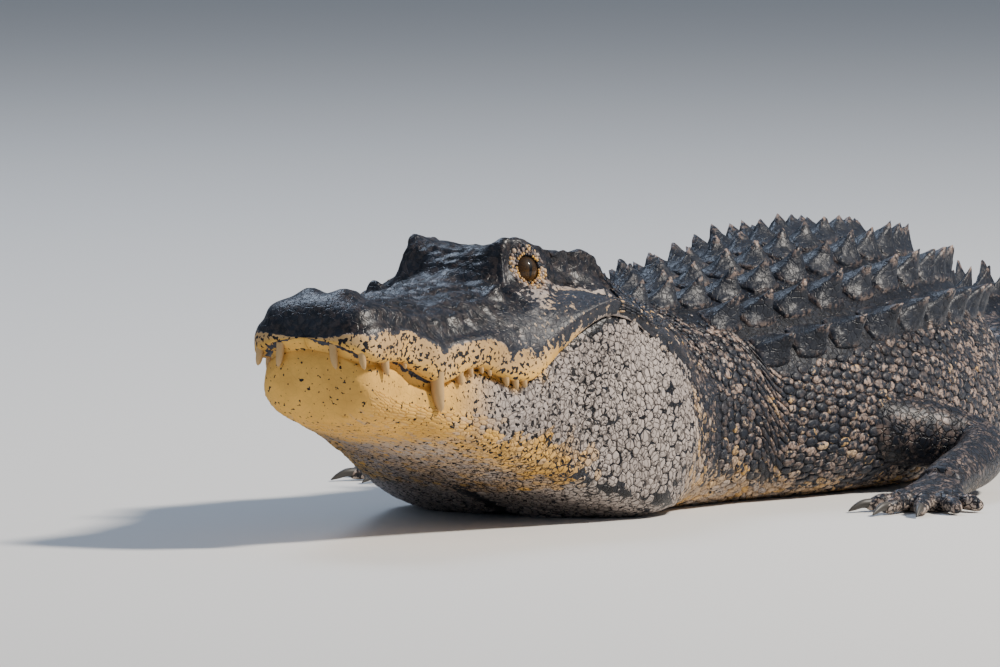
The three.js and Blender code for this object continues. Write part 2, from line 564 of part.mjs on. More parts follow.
function nostrilOpening(side) {
  const size = [0.018, 0.008, 0.012];
  return lump(NOSTRIL.back - 0.01, side * (NOSTRIL.left + 0.005), NOSTRIL.up + 0.025, size, 6);
}

// The slit of each ear, behind the eye: degrees that it turns out and dips to the rear.
const EAR = { back: 0.86, left: 0.162, up: 0.206, long: 0.19, deep: 0.03, tall: 0.01, turn: 10, dip: 4 };

function buildHead() {
  const teeth = [-1, 1].flatMap((side) => TEETH.map((size) => tooth(size, side)));
  let solid = loft(HEAD_STATIONS.map(headRing)).subtract(eyeHollow(-1)).subtract(eyeHollow(1));
  solid = joinAll([solid, ...[-1, 1].map(lidRing), ...[-1, 1].map(nostrilDome), ...teeth]);
  [-1, 1].forEach((side) => {
    const socket = new THREE.SphereGeometry(EYE.radius * HEAD_LENGTH + GAP, 14, 8);
    socket.translate(...headPoint(EYE.back, side * EYE.left, EYE.up).toArray());
    const ear = new THREE.BoxGeometry(EAR.long, EAR.deep, EAR.tall);
    ear.scale(HEAD_LENGTH, HEAD_LENGTH, HEAD_LENGTH);
    ear.rotateZ(side * rad(-EAR.turn));
    ear.rotateY(rad(HEAD_PITCH + EAR.dip));
    ear.translate(...headPoint(EAR.back, side * EAR.left, EAR.up).toArray());
    solid = solid.subtract(toSolid(socket)).subtract(toSolid(ear)).subtract(nostrilOpening(side));
  });
  return solid;
}

function eyeball(side) {
  const ball = new THREE.SphereGeometry(EYE.radius * HEAD_LENGTH, 14, 8);
  ball.translate(...headPoint(EYE.back, side * EYE.left, EYE.up).toArray());
  return toSolid(ball);
}

// Colours and finishes
const HIDE = { color: 0x2b3038, roughness: 0.5, metalness: 0 };
const FLANK = { color: 0x3a3d42, roughness: 0.6, metalness: 0 };
const JAW = { color: 0xd8c096, roughness: 0.6, metalness: 0 };
const IRIS = { color: 0x33281c, roughness: 0.08, metalness: 0 };

const animal = new THREE.Group();
const gap = GAP / HEAD_LENGTH;
animal.add(toMesh('head', buildHead(), HIDE));
animal.add(toMesh('lower_jaw', buildJaw(), JAW));
animal.add(toMesh('eye_left', eyeball(1), IRIS));
animal.add(toMesh('eye_right', eyeball(-1), IRIS));
const neck = trunk(HEAD_REAR + gap, NECK_END, NECK_STEPS);
animal.add(toMesh('neck', joinAll([neck, ...backScutes(HEAD_REAR, NECK_END)]), HIDE));
const torso = trunk(NECK_END + gap, TORSO_END, TORSO_STEPS);
animal.add(toMesh('torso', joinAll([torso, ...backScutes(NECK_END, TORSO_END)]), HIDE));
for (let i = 0; i + 1 < TAIL_CUTS.length; i += 1) {
  const length = trunk(TAIL_CUTS[i] + gap, TAIL_CUTS[i + 1], TAIL_STEPS);
  animal.add(toMesh(`tail_${i + 1}`, joinAll([length, ...tailCrest(TAIL_CUTS[i], TAIL_CUTS[i + 1])]), HIDE));
}
const body = joinAll([
  trunk(HEAD_REAR + gap, NECK_END, NECK_STEPS, 2 * gap),
  trunk(NECK_END + gap, TORSO_END, TORSO_STEPS, 2 * gap),
  trunk(TORSO_END + gap, TAIL_CUTS[1], TAIL_STEPS, 2 * gap),
  ...[NECK_END, TORSO_END].map((s) => trunk(s - 0.01, s + 0.01, 1, 2 * gap)),
]);
[['left', 1], ['right', -1]].forEach(([word, side]) => {
  [['fore', FORELEG, FOREFOOT], ['hind', HINDLEG, HINDFOOT]].forEach(([end, stops, plan]) => {
    const whole = leg(stops, side).subtract(body);
    animal.add(toMesh(`${end}leg_${word}`, whole.subtract(palm(plan, stops, side, 2 * gap)), FLANK));
    animal.add(toMesh(`${end}foot_${word}`, foot(plan, stops, side), FLANK));
  });
});

const middle = bodyPoint(BELLY_MIDDLE, 0, 0);
animal.position.set(-middle.x, -middle.y, 0);

export default animal;
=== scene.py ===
# American alligator at rest, life size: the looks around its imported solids, in metres.
# The nose points to -X, the left side is -Y, the floor is Z = 0 and the origin is under the belly.
import math

import bpy
import numpy as np
from mathutils import Matrix, Vector


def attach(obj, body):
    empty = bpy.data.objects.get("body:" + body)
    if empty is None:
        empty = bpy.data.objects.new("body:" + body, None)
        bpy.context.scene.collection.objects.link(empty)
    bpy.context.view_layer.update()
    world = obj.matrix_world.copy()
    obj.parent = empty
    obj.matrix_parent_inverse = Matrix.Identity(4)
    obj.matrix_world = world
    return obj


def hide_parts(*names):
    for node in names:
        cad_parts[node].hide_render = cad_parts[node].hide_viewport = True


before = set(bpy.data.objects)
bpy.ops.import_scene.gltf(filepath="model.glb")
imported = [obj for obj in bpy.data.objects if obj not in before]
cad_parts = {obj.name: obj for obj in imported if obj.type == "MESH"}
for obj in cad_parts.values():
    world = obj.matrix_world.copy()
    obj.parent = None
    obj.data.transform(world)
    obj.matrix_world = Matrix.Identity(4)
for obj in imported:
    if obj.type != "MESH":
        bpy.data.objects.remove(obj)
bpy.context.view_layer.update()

# The course of the body
# The head is straight and a little raised; the spine behind it bends to the right, then back to the left.
# Every place on the animal is given as back from the snout tip, out to the left and up, in head lengths.
HEAD = 0.42                       # metres from the snout tip to the rear of the skull table
HEAD_PITCH = math.radians(7)
HEAD_REAR = 1.07
TORSO_END = 3.46
BODY_END = 7.2
BELLY_MIDDLE = 2.4                # place of the origin
RAISE = 0.43
# Degrees that the spine turns to its right, and that a cross-section leans back, at places along it
HEADING = [(HEAD_REAR, 0), (1.45, -12), (2.05, 6), (2.5, 23), (3.0, 25), (3.4, 19), (4.2, 3), (5.2, -20),
           (6.2, -40), (BODY_END, -56)]
LEAN = [(HEAD_REAR, 7), (1.45, 0), (BODY_END, 0)]
SPINE_STEP = 0.01


def along(stations, place):
    """A smooth value between (place, value) stations: cubic pieces whose slopes never overshoot."""
    x, y = np.array(stations, float).T
    rise = np.diff(y) / np.diff(x)
    slope = np.concatenate([rise[:1], np.zeros(len(x) - 2), rise[-1:]])
    product = rise[:-1] * rise[1:]
    total = np.where(product > 0, rise[:-1] + rise[1:], 1)
    slope[1:-1] = np.where(product > 0, 2 * product / total, 0)
    place = np.clip(np.asarray(place, float), x[0], x[-1])
    i = np.clip(np.searchsorted(x, place, side="right") - 1, 0, len(x) - 2)
    span = x[i + 1] - x[i]
    t = (place - x[i]) / span
    return ((2 * t**3 - 3 * t**2 + 1) * y[i] + (t**3 - 2 * t**2 + t) * span * slope[i]
            + (3 * t**2 - 2 * t**3) * y[i + 1] + (t**3 - t**2) * span * slope[i + 1])


def smooth(low, high, value):
    """0 below low, 1 above high and an S-curve between them."""
    t = np.clip((np.asarray(value, float) - low) / (high - low), 0, 1)
    return t * t * (3 - 2 * t)


def head_raw(back, left, up):
    """A place of the head turned up by its pitch, in head lengths, with X back and the floor at 0."""
    x = (back - 0.5) * math.cos(HEAD_PITCH) + (up - 0.1) * math.sin(HEAD_PITCH)
    z = RAISE + (up - 0.1) * math.cos(HEAD_PITCH) - (back - 0.5) * math.sin(HEAD_PITCH)
    return x, -left + 0 * x, np.maximum(z, 0)


spine_places = HEAD_REAR + SPINE_STEP * np.arange(int((BODY_END + 0.03 - HEAD_REAR) / SPINE_STEP))
spine_turn = np.radians(along(HEADING, spine_places + SPINE_STEP / 2))
spine_start = head_raw(HEAD_REAR, 0, 0.1)
spine_x = spine_start[0] + SPINE_STEP * np.concatenate([[0], np.cumsum(np.cos(spine_turn))])[:-1]
spine_y = SPINE_STEP * np.concatenate([[0], np.cumsum(np.sin(spine_turn))])[:-1]
LEAN_HEIGHT = float(spine_start[2])


def body_raw(back, left, height):
    """A place behind the head: out from the bent spine, at a height over the floor, in head lengths."""
    turn = np.radians(along(HEADING, back))
    lean = (height - LEAN_HEIGHT) * np.tan(np.radians(along(LEAN, back)))
    x = np.interp(back, spine_places, spine_x) + left * np.sin(turn) + lean * np.cos(turn)
    y = np.interp(back, spine_places, spine_y) - left * np.cos(turn) + lean * np.sin(turn)
    return x, y, np.maximum(height, 0)


origin_x, origin_y, _ = (float(v) for v in body_raw(BELLY_MIDDLE, 0, 0))


def placed(raw):
    """Raw places in head lengths as points in metres in the frame's own axes."""
    x, y, z = np.broadcast_arrays(*raw)
    return np.stack([(x - origin_x) * HEAD, (y - origin_y) * HEAD, z * HEAD], -1)


# Camera, floor and light
# A long lens stands low on the animal's left, 28 degrees off the line of the nose; the floor is plain and
# pale, and one broad soft lamp stands where the sun was, with a weaker one on the other side.
CAMERA_AZIMUTH = math.radians(-62)
CAMERA_HEIGHT = math.radians(4)
CAMERA_DISTANCE = 24              # head lengths from the middle of the head
HEAD_PIXELS = 488.4               # length of the head in the picture, were it seen from its side
HEAD_AT = (422.3, 320.2)          # pixel of the middle of the head in a picture of 1000 by 667
PICTURE = (1000, 667)
SENSOR = 36.0

camera_out = np.array([math.sin(CAMERA_AZIMUTH) * math.cos(CAMERA_HEIGHT),
                       -math.cos(CAMERA_AZIMUTH) * math.cos(CAMERA_HEIGHT), math.sin(CAMERA_HEIGHT)])
camera_right = np.array([math.cos(CAMERA_AZIMUTH), math.sin(CAMERA_AZIMUTH), 0])
camera_up = np.cross(camera_out, camera_right)
head_middle = placed(head_raw(0.5, 0, 0.1))
aim = head_middle + HEAD / HEAD_PIXELS * (camera_right * (PICTURE[0] / 2 - HEAD_AT[0])
                                          - camera_up * (PICTURE[1] / 2 - HEAD_AT[1]))
eye_point = head_middle + camera_out * CAMERA_DISTANCE * HEAD
look = (aim - eye_point) / np.linalg.norm(aim - eye_point)
side = np.cross(look, [0, 0, 1])
side /= np.linalg.norm(side)
turned = np.eye(4)
turned[:3, 0], turned[:3, 1], turned[:3, 2], turned[:3, 3] = side, np.cross(side, look), -look, eye_point
camera_data = bpy.data.cameras.new("camera")
camera_data.lens = HEAD_PIXELS * CAMERA_DISTANCE * SENSOR / PICTURE[0]
camera_data.sensor_width = SENSOR
camera_data.clip_end = 200
camera = bpy.data.objects.new("camera", camera_data)
bpy.context.scene.collection.objects.link(camera)
camera.matrix_world = Matrix(turned.tolist())
bpy.context.scene.camera = camera


def add_mesh(name, points, faces, material=None, smooth_faces=True):
    """A mesh object at the origin from an array of points and an array, or lists, of faces."""
    mesh = bpy.data.meshes.new(name)
    mesh.from_pydata(np.asarray(points, float).reshape(-1, 3).tolist(), [],
                     faces.tolist() if isinstance(faces, np.ndarray) else faces)
    mesh.polygons.foreach_set("use_smooth", np.full(len(mesh.polygons), smooth_faces))
    mesh.update()
    made = bpy.data.objects.new(name, mesh)
    bpy.context.scene.collection.objects.link(made)
    if material is not None:
        mesh.materials.append(material)
    return made


floor_mat = bpy.data.materials.new("floor_paint")
floor_mat.use_nodes = True
floor_mat.node_tree.nodes["Principled BSDF"].inputs["Base Color"].default_value = (0.72, 0.71, 0.69, 1)
floor_mat.node_tree.nodes["Principled BSDF"].inputs["Roughness"].default_value = 0.9
FLOOR_HALF = 40
floor_corners = [(-FLOOR_HALF, -FLOOR_HALF, 0), (FLOOR_HALF, -FLOOR_HALF, 0), (FLOOR_HALF, FLOOR_HALF, 0),
                 (-FLOOR_HALF, FLOOR_HALF, 0)]
floor = add_mesh("floor", floor_corners, [[0, 1, 2, 3]], floor_mat)


def lamp(name, azimuth, height, distance, size, power, color):
    """A square lamp that looks at the middle of the head from an azimuth and a height in degrees."""
    a, e = math.radians(azimuth), math.radians(height)
    out = Vector((math.sin(a) * math.cos(e), -math.cos(a) * math.cos(e), math.sin(e)))
    data = bpy.data.lights.new(name, "AREA")
    data.shape = "SQUARE"
    data.size = size
    data.energy = power
    data.color = color
    made = bpy.data.objects.new(name, data)
    made.location = Vector(head_middle.tolist()) + Vector((0.35, 0, 0)) + out * distance
    made.rotation_euler = out.to_track_quat("Z", "Y").to_euler()
    bpy.context.scene.collection.objects.link(made)


SUN = (1, .93, .83)
SKY = (.66, .79, 1)
lamp("key", 18, 44, 6, .7, 660, SUN)
lamp("fill", -120, 35, 7, 4, 45, SKY)
lamp("back", 140, 50, 7, 2.5, 190, SKY)
world = bpy.data.worlds.new("sky")
bpy.context.scene.world = world
world.use_nodes = True
world.node_tree.nodes["Background"].inputs["Color"].default_value = (0.62, 0.76, 1.0, 1)
world.node_tree.nodes["Background"].inputs["Strength"].default_value = 0.25

# Looks of the hide
# Slate and pale hide meet in a speckled border; black specks, dark cracks and tan flecks lie on them.
# Each mesh carries marks and crack, worked out from places on the body. Pale turns slate to lilac-grey,
# Warm turns pale hide to cream and slate to blue-grey (on the cheek a painted sky sheen), Speck adds black
# specks and Tone adds tan flecks (on the keels of the scutes and the crest a painted highlight).
def add_node(tree, kind, inputs=None, **settings):
    """A shader node whose inputs, by name or number, are values or links from other nodes' sockets."""
    made = tree.nodes.new("ShaderNode" + kind)
    for key, value in settings.items():
        setattr(made, key, value)
    for key, value in (inputs or {}).items():
        if isinstance(value, bpy.types.NodeSocket):
            tree.links.new(value, made.inputs[key])
        else:
            made.inputs[key].default_value = value
    return made


def blend(tree, share, first, second, way="MIX"):
    """First and second colour mixed by share."""
    made = add_node(tree, "Mix", data_type="RGBA", blend_type=way)
    for key, value in ((0, share), (6, first), (7, second)):
        if isinstance(value, bpy.types.NodeSocket):
            tree.links.new(value, made.inputs[key])
        else:
            made.inputs[key].default_value = value
    return made.outputs[2]


def sums(tree, how, *values):
    """One arithmetic node on values or sockets."""
    return add_node(tree, "Math", dict(enumerate(values)), operation=how).outputs[0]


def ramp(tree, value, low, high):
    """0 below low and 1 above high, smooth between."""
    made = add_node(tree, "MapRange", {0: value, 1: low, 2: high, 3: 0.0, 4: 1.0})
    made.interpolation_type = "SMOOTHSTEP"
    return made.outputs[0]


def noise(tree, vector, size, detail=3.0, rough=.55):
    """Noise whose lumps are about size metres across."""
    settings = {"Vector": vector, "Scale": 1 / size, "Detail": detail, "Roughness": rough}
    return add_node(tree, "TexNoise", settings).outputs[0]


SLATE = (.0026, .0034, .0062, 1)
SLATE_LIGHT = (.0085, .011, .019, 1)
# Blue-grey of the dark hide; on the cheek it is painted sky sheen
BLUE_SLATE_AND_SHEEN = (.026, .032, .047, 1)
BROWN_FLECK = (.040, .026, .019, 1)
LILAC = (.40, .355, .33, 1)
CREAM = (.74, .43, .09, 1)
BLACK = (.008, .007, .009, 1)
TAN = (.36, .26, .21, 1)
PALE_DULL = (.78, .74, .72, 1)    # what broad patches of pale hide are multiplied by
PALE_BRIGHT = (1.12, 1.08, 1.05, 1)
CRACK_SCALE = 150.0               # cells of cracked skin in a metre
CRACK_BEND = .004                 # metres that noise moves a crack


def hide_group():
    """The shared look: sockets for the five marks in, colour, roughness and height out."""
    tree = bpy.data.node_groups.new("hide_look", "ShaderNodeTree")
    for name in ("Pale", "Warm", "Speck", "Tone", "Crack"):
        tree.interface.new_socket(name, in_out="INPUT", socket_type="NodeSocketFloat")
    for name, kind in (("Color", "Color"), ("Roughness", "Float"), ("Height", "Float")):
        tree.interface.new_socket(name, in_out="OUTPUT", socket_type="NodeSocket" + kind)
    marks = tree.nodes.new("NodeGroupInput").outputs
    done = tree.nodes.new("NodeGroupOutput").inputs
    place = add_node(tree, "TexCoord").outputs["Object"]
    broad = noise(tree, place, .05)
    middle = noise(tree, place, .014, 4, .5)
    fine = noise(tree, place, .003, 2)
    dark = blend(tree, ramp(tree, middle, .35, .7), SLATE, SLATE_LIGHT)
    brown = sums(tree, "MULTIPLY", ramp(tree, noise(tree, place, .006, 4), .6, .7), .35)
    dark = blend(tree, brown, dark, BROWN_FLECK)
    dark = blend(tree, marks["Warm"], dark, BLUE_SLATE_AND_SHEEN)
    light = blend(tree, ramp(tree, marks["Warm"], .3, .95), LILAC, CREAM)
    patches = blend(tree, ramp(tree, broad, .3, .7), PALE_DULL, PALE_BRIGHT)
    light = blend(tree, 1.0, light, patches, "MULTIPLY")
    border = sums(tree, "SUBTRACT", noise(tree, place, .0048, 2.5), .5)
    border = sums(tree, "MULTIPLY_ADD", border, 3.8, .5)
    share = sums(tree, "MULTIPLY_ADD", sums(tree, "SUBTRACT", marks["Pale"], .5), 2.3, border)
    share = ramp(tree, share, .38, .62)
    color = blend(tree, share, dark, light)
    flecks = sums(tree, "MULTIPLY", marks["Tone"], ramp(tree, noise(tree, place, .0052, 3), .46, .60))
    color = blend(tree, flecks, color, TAN)
    spots = noise(tree, place, .0038, 1.5)
    limit = sums(tree, "MULTIPLY_ADD", marks["Speck"], -.27, .80)
    spotted = ramp(tree, sums(tree, "SUBTRACT", spots, limit), -.02, .02)
    color = blend(tree, spotted, color, BLACK)
    bend = add_node(tree, "TexNoise", {"Vector": place, "Scale": 160.0}).outputs[1]
    bend = add_node(tree, "VectorMath", {0: bend, 1: (.5, .5, .5)}, operation="SUBTRACT").outputs[0]
    bent = add_node(tree, "VectorMath", {0: bend, 1: (CRACK_BEND,) * 3, 2: place}, operation="MULTIPLY_ADD")
    cells = add_node(tree, "TexVoronoi", feature="DISTANCE_TO_EDGE")
    cells.inputs["Scale"].default_value = CRACK_SCALE
    tree.links.new(bent.outputs[0], cells.inputs["Vector"])
    groove = sums(tree, "MULTIPLY", marks["Crack"], ramp(tree, cells.outputs["Distance"], .11, .02))
    color = blend(tree, sums(tree, "MULTIPLY", groove, .9), color, BLACK)
    tree.links.new(color, done["Color"])
    rough = sums(tree, "MULTIPLY_ADD", share, .2, sums(tree, "MULTIPLY_ADD", middle, .22, .27))
    rough = sums(tree, "MULTIPLY_ADD", marks["Warm"], .14, rough)
    tree.links.new(rough, done["Roughness"])
    lumps = noise(tree, place, .0065, 3)
    height = sums(tree, "ADD", sums(tree, "MULTIPLY", fine, .2), sums(tree, "MULTIPLY", lumps, .38))
    tree.links.new(sums(tree, "MULTIPLY_ADD", groove, -.7, height), done["Height"])
    return tree


hide_look = hide_group()
SHEEN = 0.32


def hide_material(name, bump):
    """A hide whose marks come from the mesh, with relief of the given depth in metres."""
    made = bpy.data.materials.new(name)
    made.use_nodes = True
    tree = made.node_tree
    shader = tree.nodes["Principled BSDF"]
    marks = add_node(tree, "Attribute", attribute_name="marks")
    split = add_node(tree, "SeparateColor", {0: marks.outputs["Color"]})
    crack = add_node(tree, "Attribute", attribute_name="crack")
    look = add_node(tree, "Group", node_tree=hide_look)
    for key, value in (("Pale", split.outputs[0]), ("Warm", split.outputs[1]), ("Speck", split.outputs[2]),
                       ("Tone", marks.outputs["Alpha"]), ("Crack", crack.outputs["Fac"])):
        tree.links.new(value, look.inputs[key])
    tree.links.new(look.outputs["Color"], shader.inputs["Base Color"])
    tree.links.new(look.outputs["Roughness"], shader.inputs["Roughness"])
    relief = add_node(tree, "Bump", {"Height": look.outputs["Height"], "Distance": bump, "Strength": 1.0})
    tree.links.new(relief.outputs[0], shader.inputs["Normal"])
    shader.inputs["Specular IOR Level"].default_value = SHEEN
    return made


hide_mat = hide_material("hide", .0014)
scale_mat = hide_material("scales", .0008)
scute_mat = hide_material("scutes", .0018)
limb_mat = hide_material("limb_hide", .0014)


def paint(made, marks, crack):
    """Keeps marks (n, 4) and crack (n,) on a mesh's points."""
    kept_marks = made.data.attributes.new("marks", "FLOAT_COLOR", "POINT")
    kept_marks.data.foreach_set("color", np.ravel(marks).astype(np.float32))
    kept_crack = made.data.attributes.new("crack", "FLOAT", "POINT")
    kept_crack.data.foreach_set("value", np.ravel(crack).astype(np.float32))


MAP_PATCH = 0.0015                # half the patch of one scale on the map of the unwrapped hide
MAP_LENGTH = 7.3                  # head lengths of body along the map


def keep_map(made, places):
    """Keeps each point's place (n, 2) on the unwrapped hide, for the colours to be baked by."""
    corners = np.empty(len(made.data.loops), np.int32)
    made.data.loops.foreach_get("vertex_index", corners)
    spread = np.asarray(places, np.float32).reshape(-1, 2)[corners]
    made.data.uv_layers.new(name="OFBake").data.foreach_set("uv", spread.ravel())


def rumple(points, size, seed):
    """Smooth noise about -1 to 1: a sum of sixteen waves of one length in random directions."""
    rng = np.random.default_rng(seed)
    waves = rng.normal(size=(16, 3))
    waves *= 2 * math.pi / size / np.linalg.norm(waves, axis=1, keepdims=True)
    return np.sin(points @ waves.T + rng.uniform(0, 6.28, 16)).sum(-1) / 4


# Line number where the pale lip starts, and how warm, pale and cracked the jaw is, at places along the head
LIP_PALE_FROM = [(0, 5.6), (.12, 5.4), (.27, 5.4), (.4, 5.9), (.55, 6.1), (.65, 6.8), (.8, 7.5), (.93, 8.2),
                 (1.05, 9)]
JAW_WARM = [(0, .9), (.28, .95), (.38, .7), (.5, .3), (.64, .08), (1.0, .08), (1.1, .3)]
JAW_PALE = [(0, 1), (.6, 1), (.8, .93), (1.0, .92), (1.15, .7)]
JAW_CRACK = [(0, .05), (.35, .15), (.5, .6), (.65, 1), (1.2, 1)]


def hide_marks(points, s, q, turn):
    """Marks and crack at places: sums of S-curves and bell curves of the place s along the body, the head's
    line number q and the trunk's turn in degrees from the back, with q and turn ruffled by noise."""
    q = np.abs(q) + .22 * rumple(points, .03, 3)
    start = along(LIP_PALE_FROM, s)
    on_jaw = smooth(9.2, 9.8, q)
    lip = smooth(start - 1.1, start + .9, q)
    pale = lip * (1 - on_jaw) + along(JAW_PALE, s) * on_jaw
    near_mouth = (1 - smooth(10.4, 11.8, q)) * smooth(.74, .6, s)
    low_edge = smooth(12.6, 13.4, q) * (1 - smooth(.7, .85, s))
    jaw_warm = np.maximum(np.maximum(along(JAW_WARM, s), .95 * near_mouth), .8 * low_edge)
    # Painted shade: the underside of the throat is made less cream and greyer
    jaw_warm = jaw_warm - .3 * smooth(14, 15.5, q) * smooth(.1, .4, s)
    lip_warm = (.68 + .32 * smooth(6.2, 7.6, q)) * (.3 + .7 * smooth(.8, .6, s))
    # Painted sky sheen: the cheek between the brow ridge and the pale lip is lightened to blue-grey
    cheek_sky_sheen = .55 * smooth(3.2, 4.4, q) * smooth(.4, .6, s) * (1 - smooth(.1, .5, lip))
    warm = (lip_warm * smooth(.1, .5, lip) + cheek_sky_sheen) * (1 - on_jaw) + jaw_warm * on_jaw
    jaw_speck = .52 + .3 * smooth(.2, .48, s) * smooth(.9, .7, s)
    speck = (1.05 - .35 * smooth(5.5, 8.5, q)) * lip * (1 - on_jaw) + jaw_speck * on_jaw
    crack = .2 * (1 - lip) * (1 - on_jaw) + along(JAW_CRACK, s) * on_jaw
    cheek = .27 * smooth(2.8, 4.8, q) * smooth(.3, .5, s)
    pale = np.maximum(pale, cheek * (1 - on_jaw))
    # Painted shade: a dark band along the crease of the mouth
    pale = pale * (1 - .85 * np.exp(-((q - 9.1) / .35) ** 2) * smooth(1.0, .9, s))
    ridge = np.exp(-((q - 4.05) / .38) ** 2) * smooth(.70, .74, s) * smooth(1.0, .93, s)
    under_eye = np.exp(-((s - .655) / .06) ** 2 - ((q - 3.9) / .8) ** 2)
    pale = np.maximum(pale, np.maximum(.62 * ridge, .6 * under_eye))
    eye_ring = np.exp(-((s - .70) ** 2 + (.25 * (q - 3.6)) ** 2) / .0022)
    turn = np.abs(turn) + 6 * rumple(points, .06, 5)
    body_pale = smooth(108, 150, turn) * .75 + smooth(140, 160, turn) * .2
    behind = smooth(1.02, 1.16, s)
    tone = .07 * (1 - behind) * (1 - pale) + .42 * behind * (1 - body_pale) + .75 * eye_ring * (1 - behind)
    pale = pale * (1 - behind) + np.maximum(body_pale, .17) * behind
    warm = warm * (1 - behind) + (.06 + .5 * smooth(45, 75, turn)) * behind
    speck = speck * (1 - behind) + .3 * behind
    crack = crack * (1 - behind) + .7 * behind
    return np.stack([pale, np.clip(warm, 0, 1), speck, np.clip(tone, 0, 1)], -1), crack


# Skin of the whole animal
# One hide runs from the snout over the head, jaw, neck, trunk and tail, and others sheathe the limbs.
# Rings follow the length of the body: each starts at the middle of the back and ends under the belly.
# The tables give half-widths, heights and depths in head lengths at places back from the snout tip.
LIP_WIDTH = [(0, .140), (.12, .143), (.165, .144), (.265, .180), (.33, .188), (.405, .200), (.525, .234),
             (.6, .25), (.7, .27), (.8, .29), (.93, .308), (1.2, .335)]
LIP_HEIGHT = [(0, .002), (.06, -.008), (.165, -.001), (.215, -.018), (.265, -.037), (.31, -.025),
              (.36, -.003), (.405, .004), (.46, -.010), (.5, -.017), (.54, -.015), (.575, .003), (.63, .047),
              (.7, .095), (.8, .137), (.87, .128), (.93, .104), (1.2, .04)]
LIP_BAND = [(0, .03), (.1, .045), (.265, .052), (.5, .055), (.7, .04), (.93, .02), (1.2, .02)]
MIDLINE = [(0, .122), (.05, .128), (.10, .128), (.16, .124), (.25, .126), (.33, .132), (.42, .148),
           (.5, .170), (.56, .190), (.61, .228), (.65, .256), (.72, .264), (.85, .262), (.95, .264),
           (.99, .250), (1.07, .205), (1.2, .165)]
CROWN_WIDTH = [(0, .085), (.1, .09), (.3, .095), (.5, .106), (.62, .108), (.68, .110), (.8, .125),
               (.9, .135), (.97, .142), (1.07, .17), (1.2, .19)]
CROWN_HEIGHT = [(0, .112), (.1, .115), (.2, .110), (.33, .118), (.42, .138), (.5, .157), (.56, .168),
                (.598, .192), (.620, .256), (.645, .279), (.69, .281), (.75, .276), (.8, .268), (.88, .272),
                (.94, .270), (.98, .25), (1.07, .195), (1.2, .155)]
SHOULDER_WIDTH = [(0, .108), (.1, .118), (.265, .136), (.4, .148), (.5, .152), (.59, .148), (.622, .13),
                  (.645, .122), (.685, .143), (.74, .138), (.8, .132), (.94, .145), (1.07, .21), (1.2, .24)]
SHOULDER_HEIGHT = [(0, .098), (.1, .102), (.265, .092), (.4, .118), (.5, .138), (.58, .162), (.608, .184),
                   (.632, .214), (.65, .248), (.678, .259), (.72, .245), (.78, .236), (.94, .232),
                   (1.07, .175), (1.2, .13)]
CHEEK_WIDTH = [(0, .120), (.1, .130), (.265, .158), (.4, .180), (.5, .196), (.6, .208), (.68, .198),
               (.78, .172), (.88, .176), (.96, .21), (1.07, .28), (1.2, .29)]
CHEEK_HEIGHT = [(0, .072), (.1, .078), (.265, .058), (.4, .075), (.5, .098), (.6, .135), (.68, .168),
                (.8, .188), (.9, .188), (1.0, .175), (1.07, .15), (1.2, .10)]
CREASE_DEPTH = [(0, .03), (.72, .03), (.82, .014), (.93, .004), (1.2, .002)]
LIP_GAP = [(0, .002), (.12, .002), (.17, .012), (.21, .02), (.25, .008), (.3, .001), (1.2, .001)]
JAW_WIDTH = [(0, .124), (.165, .127), (.265, .160), (.405, .184), (.525, .216), (.63, .240), (.7, .262),
             (.8, .286), (.93, .306), (1.2, .335)]
JAW_SIDE_WIDTH = [(0, .126), (.165, .131), (.265, .163), (.405, .190), (.525, .221), (.7, .272),
                  (.8, .300), (.9, .33), (1, .354), (1.07, .357), (1.2, .34)]
JAW_SIDE_HEIGHT = [(0, -.03), (.265, -.075), (.5, -.08), (.7, -.06), (.9, -.05), (1.2, -.07)]
JAW_EDGE = [(0, -.085), (.08, -.10), (.3, -.13), (.6, -.178), (.9, -.23), (1.2, -.25)]
JAW_BOTTOM = [(0, -.10), (.06, -.125), (.12, -.14), (.3, -.158), (.6, -.212), (.85, -.262), (1, -.30),
              (1.2, -.32)]
TIP_HEIGHT = 0.035
HALF_WIDTH = [(.95, .352), (HEAD_REAR, .35), (1.2, .33), (1.42, .325), (1.7, .36), (2.0, .395),
              (2.3, .402), (2.6, .37), (2.85, .315), (3.1, .28), (3.45, .262), (3.75, .215), (4.3, .165),
              (5.2, .115), (6.2, .065), (BODY_END, .012)]
TOP = [(.95, .47), (HEAD_REAR, .46), (1.2, .435), (1.42, .44), (1.7, .478), (2.1, .517), (2.45, .497),
       (2.8, .43), (3.15, .35), (3.45, .31), (3.8, .285), (4.4, .25), (5.2, .205), (6.2, .14),
       (BODY_END, .03)]
WAIST = [(HEAD_REAR, .18), (1.4, .165), (2.2, .12), (3.1, .115), (3.5, .125), (4.3, .115), (5.2, .09),
         (6.2, .06), (BODY_END, .014)]
BACK_SHAPE = [(HEAD_REAR, 2.3), (1.6, 2.1), (2.4, 1.95), (3.4, 2.1), (BODY_END, 2)]
BELLY_SHAPE = 3.2
BELLY_DIP = 0.012
RING_KNOTS = [6, 8, 8, 14, 12, 10, 6, 3, 3, 3, 3, 7, 8, 6, 5, 5, 5]     # samples between the ring's lines
LAST_LINE = 17
# Degrees from the back at which each of the head's lines runs on into the neck
NECK_TURNS = [0, 18, 32, 42, 58, 68, 76, 79, 80, 81, 82, 84, 100, 115, 130, 145, 162, 180]
HEAD_END = 1.2                    # from here back the trunk's oval alone gives the skin


def tip_round(back, reach, power):
    """A quarter of a squarish circle: 0 at the tip and 1 from reach on."""
    t = np.clip(np.asarray(back, float) / reach, 0, 1)
    return (1 - (1 - t) ** power) ** (1 / power)


